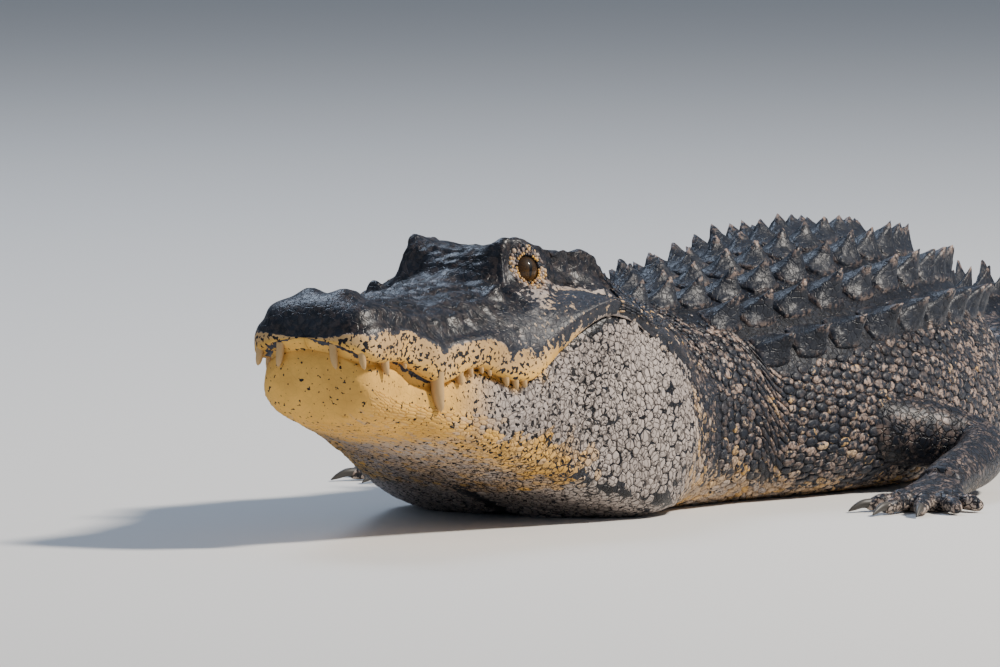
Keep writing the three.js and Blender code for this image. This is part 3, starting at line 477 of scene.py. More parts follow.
def head_lines(s):
    """Half-width and height of the 18 lines along the head, from the mid-line down to the throat: the
    tables' values, drawn in to the snout tip by two quarters of a squarish circle."""
    lip_w, lip_z = along(LIP_WIDTH, s), along(LIP_HEIGHT, s)
    band = along(LIP_BAND, s)
    mid = along(MIDLINE, s)
    crown_w, crown_z = along(CROWN_WIDTH, s), along(CROWN_HEIGHT, s)
    ridge_w, ridge_z = along(SHOULDER_WIDTH, s), along(SHOULDER_HEIGHT, s)
    cheek_w, cheek_z = along(CHEEK_WIDTH, s), along(CHEEK_HEIGHT, s)
    deep = along(CREASE_DEPTH, s)
    upper = [(0 * s, mid), (crown_w * .5, mid + (crown_z - mid) * .35), (crown_w, crown_z),
             (ridge_w, ridge_z), (cheek_w, cheek_z),
             ((cheek_w + lip_w + .004) / 2 + .004, (cheek_z + lip_z + band) / 2 + .004),
             (lip_w + .004, lip_z + band), (lip_w + .001, lip_z + .008),
             (lip_w - .009 * deep / .03, lip_z), (lip_w - deep, lip_z + .004)]
    wide = tip_round(s, .095, 3.4)
    tall = tip_round(s, .09, 2.25)
    upper = [(w * wide, TIP_HEIGHT + (z - TIP_HEIGHT) * tall) for w, z in upper]
    crease_z = upper[-1][1]
    jaw_top = lip_z - along(LIP_GAP, s)
    jaw_w = along(JAW_WIDTH, s)
    side_w, side_z = along(JAW_SIDE_WIDTH, s), along(JAW_SIDE_HEIGHT, s)
    edge_w, edge_z = side_w * .9, along(JAW_EDGE, s)
    bottom = along(JAW_BOTTOM, s)
    lower = [(jaw_w - .01 * deep / .03, jaw_top - .001), (jaw_w, jaw_top - .014), (side_w, side_z),
             ((side_w + edge_w) / 2 + .008, (side_z + edge_z) / 2), (edge_w, edge_z),
             (edge_w * .72, edge_z + (bottom - edge_z) * .62),
             (edge_w * .36, edge_z + (bottom - edge_z) * .93), (0 * s, bottom)]
    wide = tip_round(s - .02, .1, 3.0)
    tall = tip_round(s - .02, .07, 2.0)
    lower = [(w * wide, crease_z + (z - crease_z) * tall) for w, z in lower]
    return np.array([w for w, _ in upper + lower]), np.array([z for _, z in upper + lower])


def across_at(lines, knots):
    """Values between the ring's lines at one line number for each place: the same cubic pieces as along."""
    rise = np.diff(lines, axis=0)
    slope = np.zeros_like(lines)
    slope[0], slope[-1] = rise[0], rise[-1]
    product = rise[:-1] * rise[1:]
    total = np.where(product > 0, rise[:-1] + rise[1:], 1)
    slope[1:-1] = np.where(product > 0, 2 * product / total, 0)
    i = np.clip(np.floor(knots).astype(int), 0, len(lines) - 2)
    t = knots - i
    n = np.arange(lines.shape[1])
    return ((2 * t**3 - 3 * t**2 + 1) * lines[i, n] + (t**3 - 2 * t**2 + t) * slope[i, n]
            + (3 * t**2 - 2 * t**3) * lines[i + 1, n] + (t**3 - t**2) * slope[i + 1, n])


def trunk_raw(s, turn, grow=0):
    """The trunk's outline: half-width times a power of sine out, reach times a power of cosine up or down
    from the waist, each power 2 over the shape number; grow widens it, and the floor flattens it."""
    width, waist = along(HALF_WIDTH, s) + grow, along(WAIST, s)
    over = np.cos(turn) > 0
    shape = np.where(over, along(BACK_SHAPE, s), BELLY_SHAPE)
    reach = np.where(over, along(TOP, s) + grow - waist, waist + BELLY_DIP)
    left = width * np.sign(np.sin(turn)) * np.abs(np.sin(turn)) ** (2 / shape)
    height = waist + reach * np.sign(np.cos(turn)) * np.abs(np.cos(turn)) ** (2 / shape)
    return body_raw(s, left, height)


ring_q = np.concatenate([k + np.arange(n) / n for k, n in enumerate(RING_KNOTS)] + [[float(LAST_LINE)]])
ring_degrees = np.linspace(0, 180, len(ring_q))             # turn of each sample of the trunk's ring
full_ring = np.concatenate([ring_q, -ring_q[-2:0:-1]])      # the right side has negative line numbers
head_s = np.concatenate([np.linspace(0, 1, 26)[:-1] ** 1.8 * .12, np.linspace(.12, .6, 80)[:-1],
                         np.linspace(.6, .76, 45)[:-1], np.linspace(.76, HEAD_END, 60)[:-1]])
body_s = HEAD_END + (BODY_END - HEAD_END) * np.linspace(0, 1, 150)
skin_s = np.concatenate([head_s, body_s])


def skin_points(s, q):
    """Points of the hide at pairs of place along the body and line number round it: the head's lines, mixed
    behind the skull into the trunk's oval by an S-curve."""
    s, q = np.broadcast_arrays(np.asarray(s, float), np.asarray(q, float))
    side = np.where(q < 0, -1, 1)
    q = np.abs(q)
    s_head = np.minimum(s, HEAD_END)
    w_lines, z_lines = head_lines(s_head.ravel())
    w, z = across_at(w_lines, q.ravel()), across_at(z_lines, q.ravel())
    on_head = placed(head_raw(s_head.ravel(), w * side.ravel(), z)).reshape(s.shape + (3,))
    uniform = smooth(1.1, 1.7, s)
    even = np.interp(q, ring_q, ring_degrees)
    on_neck = np.interp(q, np.arange(LAST_LINE + 1), NECK_TURNS)
    turn = np.radians(on_neck * (1 - uniform) + even * uniform) * side
    on_body = placed(trunk_raw(np.maximum(s, .96), turn))
    share = smooth(.98, HEAD_END, s)[..., None]
    return on_head * (1 - share) + on_body * share


def grid_faces(rows, columns, closed=False):
    """Quads of a grid of rows and columns; closed joins the last column to the first."""
    r = np.arange(rows - 1)[:, None] * columns
    c = np.arange(columns if closed else columns - 1)[None, :]
    n = (c + 1) % columns
    return np.stack(np.broadcast_arrays(r + c, r + n, r + n + columns, r + c + columns), -1).reshape(-1, 4)


# Eye sockets: the hide dips behind each eyeball and flattens into a ring of lid round the opening.
EYE_OPEN = (.682, .141, .222)     # middle of the opening, back, left and up
EYE_WAY = (-.413, .886, .208)     # where the eye looks, in the same order
EYE_RADIUS = 0.034
OPEN_RADIUS = 0.0285


def head_vector(back, left, up):
    """A direction of the head as one in the frame's axes."""
    c, s = math.cos(HEAD_PITCH), math.sin(HEAD_PITCH)
    return np.array([back * c + up * s, -left, up * c - back * s])


def dip_sockets(points):
    """Moves points near an eye along its line of sight: down inside the opening, level with it around."""
    for side in (-1, 1):
        middle = placed(head_raw(EYE_OPEN[0], side * EYE_OPEN[1], EYE_OPEN[2]))
        way = head_vector(EYE_WAY[0], side * EYE_WAY[1], EYE_WAY[2])
        away = (points - middle) / HEAD
        depth = away @ way
        radius = np.linalg.norm(away - depth[..., None] * way, axis=-1)
        near = (radius < .075) & (np.abs(depth) < .08)
        rim = -.026 + .028 * smooth(OPEN_RADIUS - .004, OPEN_RADIUS + .003, radius)
        share = 1 - smooth(OPEN_RADIUS + .004, .062, radius)
        moved = depth * (1 - share) + rim * share
        points = points + np.where(near, moved - depth, 0)[..., None] * way * HEAD
    return points


# Relief of the head: round-ended ridges (raised) and folds (sunk) from one place to another, on both sides.
# Each is (back, left, up) twice, its reach round that line and its height.
RELIEF = [
    ((.084, .040, .13), (.114, .045, .13), .027, .017),          # mound of the nostril
    ((.086, .050, .142), (.104, .036, .148), .007, -.017),       # nostril
    ((.63, .106, .276), (.73, .112, .278), .014, .002),          # rim of the brow
    ((.543, .132, .160), (.549, .134, .160), .017, .019),        # knob in front of the eye
    ((.580, .130, .170), (.588, .160, .150), .009, -.010),       # dip behind that knob
    ((.44, .137, .130), (.56, .146, .165), .013, .005),          # ridges and folds of the snout's side
    ((.33, .11, .112), (.42, .10, .135), .016, .005),
    ((.385, .160, .100), (.412, .205, .058), .006, -.006),
    ((.516, .211, .088), (.519, .236, .030), .005, -.007),
    ((.608, .240, .085), (.632, .258, .050), .005, -.006),
    ((.758, .152, .209), (.874, .155, .206), .0065, -.024),      # ear slit
    ((.72, .172, .194), (.95, .188, .190), .010, .008),          # its lower rim
    ((.822, .112, .276), (.832, .137, .240), .017, -.016),       # dips and knob of the skull table's edge
    ((.882, .12, .28), (.888, .142, .232), .006, -.012),
    ((.93, .135, .27), (.94, .165, .225), .022, .007),
    ((.70, .185, .165), (.60, .205, .135), .012, .005),          # ridges of the cheek
    ((.80, .215, .17), (.95, .25, .15), .012, .004),
    ((.46, .02, .155), (.50, .055, .165), .008, .004),           # ridges of the snout's top
    ((.23, .03, .126), (.31, .06, .125), .012, .004)]


def head_places(points):
    """Back, left (made positive) and up in head lengths of points in metres."""
    x = points[..., 0] / HEAD + origin_x
    z = points[..., 2] / HEAD - RAISE
    c, k = math.cos(HEAD_PITCH), math.sin(HEAD_PITCH)
    return np.stack([.5 + x * c - z * k, np.abs(points[..., 1] / HEAD + origin_y), .1 + x * k + z * c], -1)


def grid_normals(grid):
    """Outward directions of a grid whose rows run back and whose columns run down the left side first."""
    along_rows = np.gradient(grid, axis=0)
    round_it = np.roll(grid, -1, axis=1) - np.roll(grid, 1, axis=1)
    out = np.cross(round_it, along_rows)
    return out / np.maximum(np.linalg.norm(out, axis=-1, keepdims=True), 1e-12)


def soft_lift(points, s, q):
    """Slack and muscle under the scales: broad waves, deeper on the jowls; scales and hide share them."""
    jowl = smooth(11, 12, np.abs(q)) * smooth(.6, .8, s) * smooth(1.25, 1.05, s)
    return .001 * rumple(points, .05, 13) + jowl * .003 * rumple(points, .06, 14)


def raise_relief(grid, s, q):
    """Adds the head's ridges and folds, and a rough grain on its bony top."""
    at = head_places(grid)
    lift = np.zeros(grid.shape[:2])
    for start, end, reach, height in RELIEF:
        start, way = np.array(start), np.array(end) - np.array(start)
        t = np.clip((at - start) @ way / (way @ way), 0, 1)
        away = np.linalg.norm(at - start - t[..., None] * way, axis=-1)
        lift += height * np.exp(-(away / reach) ** 2)
    q = np.abs(q)
    bony = (1 - .8 * smooth(2.6, 4.2, q)) * (1 - smooth(5, 6, q))
    bony = bony * smooth(.06, .16, s) * smooth(1.15, 1.0, s)
    lift += bony * (.0026 * rumple(grid, .024, 11) + .0016 * rumple(grid, .010, 12))
    lift += soft_lift(grid, s, q)
    return grid + grid_normals(grid) * (lift * HEAD)[..., None]


# Line number from which raised scales cover the jaw and the jowl
JAW_SCALES_FROM = [(0, 12.3), (.45, 12.0), (.6, 11.0), (.66, 9.7), (.74, 8.3), (.84, 6.7), (.93, 6), (1, 5),
                   (1.3, 4.8)]
skin_q = np.broadcast_to(full_ring[None, :], (len(skin_s), len(full_ring)))
skin_place = np.broadcast_to(skin_s[:, None], skin_q.shape)
skin_grid = dip_sockets(raise_relief(skin_points(skin_place, skin_q), skin_place, skin_q))
skin_grid[..., 2] = np.maximum(skin_grid[..., 2], 0)
skin_out = grid_normals(skin_grid)
rows, columns = skin_grid.shape[:2]
caps = np.array([skin_grid[0].mean(0), skin_grid[-1].mean(0)])
skin_faces = grid_faces(rows, columns, closed=True).tolist()
skin_faces += [[rows * columns, (c + 1) % columns, c] for c in range(columns)]
last = (rows - 1) * columns
skin_faces += [[rows * columns + 1, last + c, last + (c + 1) % columns] for c in range(columns)]
skin = add_mesh("hide", np.concatenate([skin_grid.reshape(-1, 3), caps]), skin_faces, hide_mat)
ring_turn = np.interp(np.abs(skin_q), ring_q, ring_degrees)
skin_marks, skin_crack = hide_marks(skin_grid, skin_place, skin_q, ring_turn)
scales_from = np.maximum(along(JAW_SCALES_FROM, skin_place), 9.1)
under_scales = smooth(.55, .8, skin_place) * smooth(1.3, 1.1, skin_place)
under_scales *= smooth(scales_from + .3, scales_from + .8, np.abs(skin_q))
skin_marks[..., 0] *= 1 - .8 * under_scales
skin_marks[..., 3] *= 1 - smooth(1.1, 1.3, skin_place)
paint(skin, np.concatenate([skin_marks.reshape(-1, 4), np.zeros((2, 4))]),
      np.concatenate([skin_crack.ravel(), [0, 0]]))
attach(skin, "root")
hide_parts("head", "lower_jaw", "neck", "torso", "tail_1", "tail_2", "tail_3", "tail_4")

# Scales
# Rounded six-sided domes of horn in rows like bricks, jittered; each field follows its part of the body.
# They stand 0.6 to 2 mm over the hide, and the hide's dark shows in the gaps between them.
SCALE_SIDES = 12                  # a hexagon with its corners cut
SCALE_WIDTHS = (1, .97, .72)      # widths of a dome's three rings, as shares of its foot
SCALE_RISES = (.5, .9)            # heights of the second and third ring, as shares of its height
SCALE_FOOT = 0.003                # metres that a dome's foot is sunk
WALK_STEPS = 90


def dome_faces(sides, count):
    """Faces of count domes, each of three rings of points and a top point: first quads, then triangles."""
    k = np.arange(sides)
    caps = np.stack([k + 2 * sides, (k + 1) % sides + 2 * sides, np.full(sides, 3 * sides)], 1)
    base = (3 * sides + 1) * np.arange(count)[:, None, None]
    quads = base + grid_faces(3, sides, closed=True)
    return quads.reshape(-1, 4).tolist() + (base + caps).reshape(-1, 3).tolist()


def dome_patch(sides, widths):
    """Places of one dome's points on the map about its root: three circles of these widths, and the top."""
    angle = np.append(np.tile(np.arange(sides), 3) * 2 * math.pi / sides, 0)
    reach = MAP_PATCH * np.append(np.repeat(widths, sides), 0)
    return np.stack([np.cos(angle) * reach, np.sin(angle) * reach], -1)


def hide_walk(s, q_from, q_to, count, shift):
    """Line numbers that lie evenly along the hide from q_from to q_to, one row of count for each s."""
    fine = np.linspace(0, 1, WALK_STEPS)[None, :] * (q_to - q_from)[:, None] + q_from[:, None]
    steps = np.linalg.norm(np.diff(skin_points(s[:, None], fine), axis=1), axis=2)
    gone = np.concatenate([np.zeros((len(s), 1)), np.cumsum(steps, axis=1)], axis=1)
    share = (np.arange(count)[None, :] + .25 + shift) / count
    return np.array([np.interp(f * g[-1], g, row) for f, g, row in zip(np.clip(share, 0, 1), gone, fine)])


def scale_field(name, s_rows, q_from, q_to, count, height, shrink=.9, jitter=.16, tone=.5, corner=.28):
    """A mesh of scales for each side, on rows s_rows between two line numbers: a jittered lattice of
    middles, each with the points between it and its six neighbours as its rim, raised in three rings."""
    rng = np.random.default_rng(len(name) * 31 + count)
    rows = len(s_rows)
    pitch = (s_rows[-1] - s_rows[0]) / (rows - 1)
    for side, side_name in ((-1, "right"), (1, "left")):
        odd = (np.arange(rows) % 2)[:, None] * .5
        q = hide_walk(s_rows, q_from, q_to, count, odd + jitter * rng.uniform(-1, 1, (rows, count)))
        s_all = s_rows[:, None] + pitch * jitter * rng.uniform(-1, 1, (rows, count))
        centre = skin_points(s_all, side * q)
        r, c = np.arange(1, rows - 1)[:, None], np.arange(1, count - 1)[None, :]
        lean = (r % 2) + 0 * c
        ring = [(r + 0 * c, c + 1 + 0 * r), (r + 1 + 0 * c, c + lean), (r + 1 + 0 * c, c + lean - 1),
                (r + 0 * c, c - 1 + 0 * r), (r - 1 + 0 * c, c + lean - 1), (r - 1 + 0 * c, c + lean)]
        around = np.stack([centre[a, b] for a, b in ring], 2)
        middle = centre[1:-1, 1:-1]
        here = (around + np.roll(around, -1, axis=2) + middle[:, :, None]) / 3
        ahead = np.roll(here, -1, axis=2)
        rim = np.stack([here * (1 - corner) + ahead * corner, here * corner + ahead * (1 - corner)], 3)
        rim = rim.reshape(rim.shape[:2] + (SCALE_SIDES, 3))
        lengthwise = around[:, :, 1] - around[:, :, 4] + around[:, :, 2] - around[:, :, 5]
        out = np.cross(lengthwise, around[:, :, 0] - around[:, :, 3])
        s_cell, q_cell = s_all[1:-1, 1:-1], q[1:-1, 1:-1]
        if s_rows[0] > HEAD_END:
            core = placed(body_raw(np.clip(s_cell, HEAD_REAR, BODY_END), 0, .2))
        else:
            core = placed(head_raw(s_cell, 0, .02))
        out *= np.sign(np.sum(out * (middle - core), -1, keepdims=True))
        out /= np.linalg.norm(out, axis=-1, keepdims=True)
        middle, rim, out = middle.reshape(-1, 3), rim.reshape(-1, SCALE_SIDES, 3), out.reshape(-1, 3)
        s_cell, q_cell = s_cell.ravel(), q_cell.ravel()
        lift = out * (soft_lift(middle, s_cell, q_cell) * HEAD)[:, None]
        middle, rim = middle + lift, rim + lift[:, None]
        tall = (height * HEAD * (1 + .3 * rng.uniform(-1, 1, len(middle))))[:, None, None]
        root, out = middle[:, None], out[:, None]
        spread = rim - root
        rings = [root + spread * shrink - out * SCALE_FOOT]
        rings += [root + spread * wide * shrink + out * tall * rise
                  for wide, rise in zip(SCALE_WIDTHS[1:], SCALE_RISES)]
        rings = np.concatenate(rings + [root + out * tall], 1)
        rings[..., 2] = np.maximum(rings[..., 2], 0)
        marks, crack = hide_marks(middle, s_cell, q_cell, np.interp(q_cell, ring_q, ring_degrees))
        marks[:, 0] = np.clip(marks[:, 0] + .13 * rng.normal(size=len(middle)), 0, 1)
        marks[:, 1] = np.clip(marks[:, 1] + .1 * rng.normal(size=len(middle)), 0, 1)
        marks[:, 3] = marks[:, 3] * 2.6 * rng.random(len(middle)) ** 1.7 * tone / .5
        marks = np.repeat(marks[:, None], rings.shape[1], 1)
        marks[:, :SCALE_SIDES, 0] *= .2
        made = add_mesh(f"{name}_{side_name}", rings, dome_faces(SCALE_SIDES, len(middle)), scale_mat)
        paint(made, marks, np.repeat(crack * .8, rings.shape[1]))
        on_map = np.stack([.5 + side * q_cell / (2 * LAST_LINE + 2), s_cell / MAP_LENGTH], -1)[:, None]
        keep_map(made, on_map + dome_patch(SCALE_SIDES, SCALE_WIDTHS))
        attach(made, "root")


PAST_THROAT = LAST_LINE + .05
jaw_rows = np.linspace(.06, 1.24, 56)
scale_field("jaw_scales", jaw_rows, along(JAW_SCALES_FROM, jaw_rows), PAST_THROAT, 26, .0014, .97,
            jitter=.38, corner=.12)
temple_rows = np.linspace(.8, 1.3, 29)
temple_from = along([(.8, 4.9), (.95, 4.3), (1.0, 1.2), (1.04, .05), (1.3, .05)], temple_rows)
temple_to = along([(.8, 7.4), (.93, 6.6), (1.0, 5.6), (1.3, 5.4)], temple_rows)
scale_field("temple_scales", temple_rows, temple_from, temple_to, 17, .0042, .93, tone=.6)
# Distance round from the middle of the back to the last column of scutes, at places along the trunk
SCUTES_REACH = [(1.2, .17), (1.40, .17), (1.5, .36), (2.88, .37), (2.95, .30), (3.2, .24), (3.3, .15),
                (3.46, .12)]


def flank_start(s):
    """Line number on the trunk where the columns of scutes end."""
    return np.interp(np.degrees(turn_at(s, along(SCUTES_REACH, s))), ring_degrees, ring_q)


def turn_at(s, distance):
    """The turn at which the hide lies a distance round from the middle of the back, by walking there."""
    turns = np.linspace(0, math.pi / 2, 91)
    walk = np.stack([trunk_raw(np.full(len(turns), place), turns) for place in np.atleast_1d(s)])
    steps = np.linalg.norm(np.diff(walk, axis=2), axis=1)
    gone = np.concatenate([np.zeros((len(walk), 1)), np.cumsum(steps, axis=1)], axis=1)
    found = [np.interp(abs(d), g, turns) for d, g in zip(np.broadcast_to(distance, len(walk)), gone)]
    return np.array(found) * np.sign(distance)


flank_rows = np.linspace(1.24, 3.5, 84)
scale_field("flank_scales", flank_rows, flank_start(flank_rows), PAST_THROAT, 30, .0045, .94, jitter=.22,
            tone=.7)
tail_rows = np.linspace(TORSO_END, 7.08, 76)
tail_from = along([(3.46, 2.6), (4.2, 3.2), (5.2, 2.5), (5.3, 1.2), (7.1, 1.2)], tail_rows)
scale_field("tail_scales", tail_rows, tail_from, PAST_THROAT, 14, .005, .93, jitter=.06, tone=.6)

# Scutes of the back
# Bony plates in transverse rows under horn, each with a keel that climbs to a peak near its rear edge and
# drops. They are rooted in the hide, four columns on each side.
SCUTE_PITCH = 0.108
# Columns are (distance from the middle of the back, first place, last place, height of the keel)
COLUMNS = [(0.048, 1.2, 3.42, 0.040), (0.148, 1.2, 3.42, 0.050), (0.248, 1.42, 3.2, 0.056),
           (0.355, 1.5, 2.88, 0.056)]
SCUTE_NARROW = [(1.2, .85), (2.2, 1), (3.0, .9), (3.5, .72)]
SCUTE_TALL = [(1.2, 1.1), (2.4, 1), (3.4, .7)]
SCUTE_LENGTH = 0.1
SCUTE_WIDTH = 0.09
SCUTE_EDGE = 0.007
SCUTE_SINK = 0.02
KEEL_RUN = [(-1, 0), (-.8, .1), (0, .62), (.42, 1), (.56, .96), (.76, .4), (.9, .1), (1, 0)]
PLATE_PATCH = 0.006               # half the patch of one plate on the map
chance = np.random.default_rng(7)


def hide_frames(s, turn):
    """Place on the trunk and the directions back, sideways and out of it, one row for each (s, turn)."""
    nudge = 0.01
    centre = placed(trunk_raw(s, turn))
    back = placed(trunk_raw(s + nudge, turn)) - placed(trunk_raw(s - nudge, turn))
    back /= np.linalg.norm(back, axis=1, keepdims=True)
    out = np.cross(placed(trunk_raw(s, turn + nudge)) - placed(trunk_raw(s, turn - nudge)), back)
    out /= np.linalg.norm(out, axis=1, keepdims=True)
    return centre, back, np.cross(out, back), out


def plates(name, s, turn, length, width, keel, edge, fall, grain=17):
    """One mesh of keeled plates on the trunk at pairs of (s, turn), sizes in head lengths. Height over the
    hide = edge of the plate + keel times its run from front to rear times a concave fall to the sides."""
    steps = np.concatenate([[-1, -.95], np.linspace(-.86, .86, grain - 4), [.95, 1]])
    u, v = np.meshgrid(steps, steps, indexing="ij")
    rim = np.maximum(np.abs(u), np.abs(v))
    x, y = u * np.sqrt(1 - .3 * v * v), v * np.sqrt(1 - .3 * u * u)
    run = along(KEEL_RUN, u) * np.maximum(0, 1 - np.abs(v) / .94) ** fall
    centre, back, side, out = (part[:, None, None, :] for part in hide_frames(s, turn))
    sizes = (np.asarray(size)[:, None, None, None] * HEAD for size in (length, width, keel))
    lengths, widths, keels = sizes
    plate = np.where(rim < .97, edge * (1 - .5 * smooth(.8, .96, rim)), -SCUTE_SINK) * HEAD
    wear = chance.normal(0, .03, (len(centre),) + u.shape) * (rim < .9)
    height = plate[None, ..., None] + keels * (run + wear * (run > 0))[..., None]
    points = centre + back * x[..., None] * lengths / 2 + side * y[..., None] * widths / 2 + out * height
    faces = grid_faces(grain, grain)[None] + (np.arange(len(points)) * grain * grain)[:, None, None]
    made = add_mesh(name, points.reshape(-1, 3), faces.reshape(-1, 4), scute_mat)
    # Painted highlight of grazing sun: tan flecks, strongest on the keels' peaks and weaker at the plates'
    # edges
    keel_highlight = np.clip((run + wear - .62) / .38, 0, 1) + .25 * smooth(.8, .95, rim)
    flecks = keel_highlight * chance.uniform(.4, 1.8, (len(points), 1, 1))
    marks = np.stack([0 * keel_highlight, 0 * keel_highlight + .42, 0 * keel_highlight + .2, flecks], -1)
    paint(made, np.clip(marks, 0, 1), .25 + 0 * keel_highlight)
    on_map = np.stack([.5 + turn / (2 * math.pi), s / MAP_LENGTH], -1)[:, None, None]
    keep_map(made, on_map + np.stack([v, u], -1) * PLATE_PATCH)
    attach(made, "root")


scute_s, scute_round, scute_keel = [], [], []
for distance, first, last_place, keel in COLUMNS:
    place = np.arange(first, last_place, SCUTE_PITCH)
    for side in (-1, 1):
        scute_s.append(place)
        scute_round.append(side * distance * along(SCUTE_NARROW, place))
        scute_keel.append(keel * along(SCUTE_TALL, place) * (1 + .15 * chance.uniform(-1, 1, len(place))))
scute_s, scute_round, scute_keel = map(np.concatenate, (scute_s, scute_round, scute_keel))
scute_turn = turn_at(scute_s, scute_round)
plates("scutes", scute_s, scute_turn, np.full(len(scute_s), SCUTE_LENGTH),
       SCUTE_WIDTH * along(SCUTE_NARROW, scute_s), scute_keel, SCUTE_EDGE, 1.25)

# Crest of the tail
# Upright plates of horn, thin and rooted in the hide: two rows that lean out and draw together, then one
# row to the tip.
CREST_MERGE = 5.25
CREST_PITCH = 0.112
CREST_HEIGHT = [(3.5, .03), (4.0, .055), (5.0, .085), (6.2, .075), (7.1, .03)]
crest_s = np.arange(TORSO_END + CREST_PITCH * .7, BODY_END - .1, CREST_PITCH)
pairs, singles = crest_s[crest_s < CREST_MERGE], crest_s[crest_s >= CREST_MERGE]
spread = along([(3.5, .075), (CREST_MERGE, .03)], pairs)
crest_s = np.concatenate([pairs, pairs, singles])
crest_turn = np.concatenate([turn_at(pairs, spread), turn_at(pairs, -spread), np.zeros(len(singles))])
plates("crest", crest_s, crest_turn, np.full(len(crest_s), CREST_PITCH * .98),
       np.minimum(.05, along(HALF_WIDTH, crest_s) * .9), along(CREST_HEIGHT, crest_s), .002, 1.1)

# Limbs
# Each is one skin fused from a bent leg, a palm, toes and the webs between them, flat where it lies.
# A leg's stops are (place along the body, distance out, height, half-width, half-height).
FORELEG = [(1.72, .16, .16, .08, .09), (1.78, .31, .14, .08, .08), (1.88, .42, .115, .07, .07),
           (1.9, .49, .095, .06, .06), (1.82, .55, .075, .053, .055), (1.69, .595, .055, .05, .046),
           (1.63, .615, .042, .052, .038)]
HINDLEG = [(3.32, .1, .15, .12, .115), (3.26, .26, .165, .13, .112), (3.12, .4, .15, .11, .1),
           (3.02, .5, .125, .085, .085), (3.08, .58, .1, .075, .078), (3.22, .62, .07, .062, .06),
           (3.34, .64, .05, .058, .045)]
FOREFOOT = dict(palm=.15, wide=.075, heading=24, fan=[-46, -20, 4, 30, 58], toes=[.1, .13, .14, .115, .085],
                thick=.021, web=.35)
HINDFOOT = dict(palm=.25, wide=.085, heading=30, fan=[-22, -6, 11, 30], toes=[.15, .19, .19, .155],
                thick=.025, web=.75)
# A toe's stops are (share of its reach, height, half-width and half-height as shares of its thickness).
TOE = [(0, .02, 1, 1), (.3, .023, .95, .95), (.45, .026, 1, 1), (.62, .021, .82, .8), (.75, .021, .9, .85),
       (.9, .016, .7, .7), (1, .014, .45, .45)]
# A claw's stops are (distance past the end of its toe, height, half-width, half-height).
CLAW = [(-.02, .018, .009, .011), (.005, .0185, .0085, .0095), (.03, .011, .005, .006),
        (.045, .004, .0012, .0012)]
# A web's stops are (share of its reach, height).
WEB = [(0, .008), (.5, .009), (.93, .008)]
CLAWED_TOES = 3
VOXEL = 0.0018


def tube(path, wide, tall, sides=20, grain=8):
    """A closed tube through stops: each ring is the path's place plus its half-width times a cosine sideways
    and its half-height times a sine upwards. The path is in metres, and the halves are in head lengths."""
    stops = np.arange(len(path))
    t = np.linspace(0, len(path) - 1, (len(path) - 1) * grain + 1)
    middle = np.stack([along(list(zip(stops, np.asarray(path)[:, k])), t) for k in range(3)], -1)
    wide, tall = (along(list(zip(stops, size)), t) * HEAD for size in (wide, tall))
    ahead = np.gradient(middle, axis=0)
    ahead /= np.linalg.norm(ahead, axis=1, keepdims=True)
    across = np.cross(ahead, [0, 0, 1])
    across /= np.linalg.norm(across, axis=1, keepdims=True)
    over = np.cross(across, ahead)
    turn = np.linspace(0, 2 * math.pi, sides, endpoint=False)[None, :, None]
    ring = (middle[:, None] + across[:, None] * np.cos(turn) * wide[:, None, None]
            + over[:, None] * np.sin(turn) * tall[:, None, None])
    ring[..., 2] = np.maximum(ring[..., 2], 0)
    points = np.concatenate([ring.reshape(-1, 3), ring[:1].mean(1), ring[-1:].mean(1)])
    n, end = len(points), (len(t) - 1) * sides
    faces = grid_faces(len(t), sides, closed=True).tolist()
    faces += [[n - 2, (c + 1) % sides, c] for c in range(sides)]
    faces += [[n - 1, end + c, end + (c + 1) % sides] for c in range(sides)]
    return points, faces


def joined(parts):
    """Points and faces of several (points, faces) parts put together."""
    starts = np.cumsum([0] + [len(points) for points, _ in parts])
    faces = [[i + int(start) for i in face] for start, (_, some) in zip(starts, parts) for face in some]
    return np.concatenate([points for points, _ in parts]), faces


def foot_way(plan, stops, side, turn):
    """A direction on the floor, turned out from the nose by the foot's heading and more."""
    forwards = math.radians(float(along(HEADING, stops[-1][0]))) + math.pi
    a = forwards + side * math.radians(plan["heading"] + turn)
    return np.array([math.cos(a), math.sin(a), 0])


def foot_parts(plan, stops, side):
    """Palm, toes and webs of a foot as tubes, and the claws with their roots in the first three toes."""
    root = placed(body_raw(stops[-1][0], side * stops[-1][1], 0)).reshape(3)
    way = foot_way(plan, stops, side, 0)
    palm, wide, thick = plan["palm"], plan["wide"], plan["thick"]

    def at(start, direction, distance, height):
        return np.array([*(start + direction * distance * HEAD)[:2], height * HEAD])

    path = [at(root, way, 0, .035), at(root, way, palm * .35, .03), at(root, way, palm * .8, .022),
            at(root, way, palm * 1.1, .016), at(root, way, palm * 1.25, .012)]
    parts = [tube(path, [.05, wide * .85, wide, wide * .9, wide * .6], [.034, .032, .026, .019, .012])]
    base = at(root, way, palm * .62, 0)
    reaches = [palm * .4 + toe for toe in plan["toes"]]
    ways = [foot_way(plan, stops, side, fan) for fan in plan["fan"]]
    claws = []
    for i, (reach, ahead) in enumerate(zip(reaches, ways)):
        path = [at(base, ahead, reach * share, height) for share, height, _, _ in TOE]
        parts.append(tube(path, [thick * w for _, _, w, _ in TOE], [thick * h for _, _, _, h in TOE], 14, 5))
        if i < CLAWED_TOES:
            path = [at(base, ahead, reach + past, height) for past, height, _, _ in CLAW]
            claws.append(tube(path, [w for _, _, w, _ in CLAW], [h for _, _, _, h in CLAW], 12, 5))
    for i in range(len(ways) - 1):
        reach = min(reaches[i], reaches[i + 1]) * plan["web"]
        middle = ways[i] + ways[i + 1]
        middle /= np.linalg.norm(middle)
        half = math.sin(math.acos(float(np.clip(ways[i] @ ways[i + 1], -1, 1))) / 2) * reach
        path = [at(base, middle, reach * share, height) for share, height in WEB]
        parts.append(tube(path, [thick, half * .5 + thick * .4, half], [.012, .008, .0055], 16, 4))
    return parts, claws


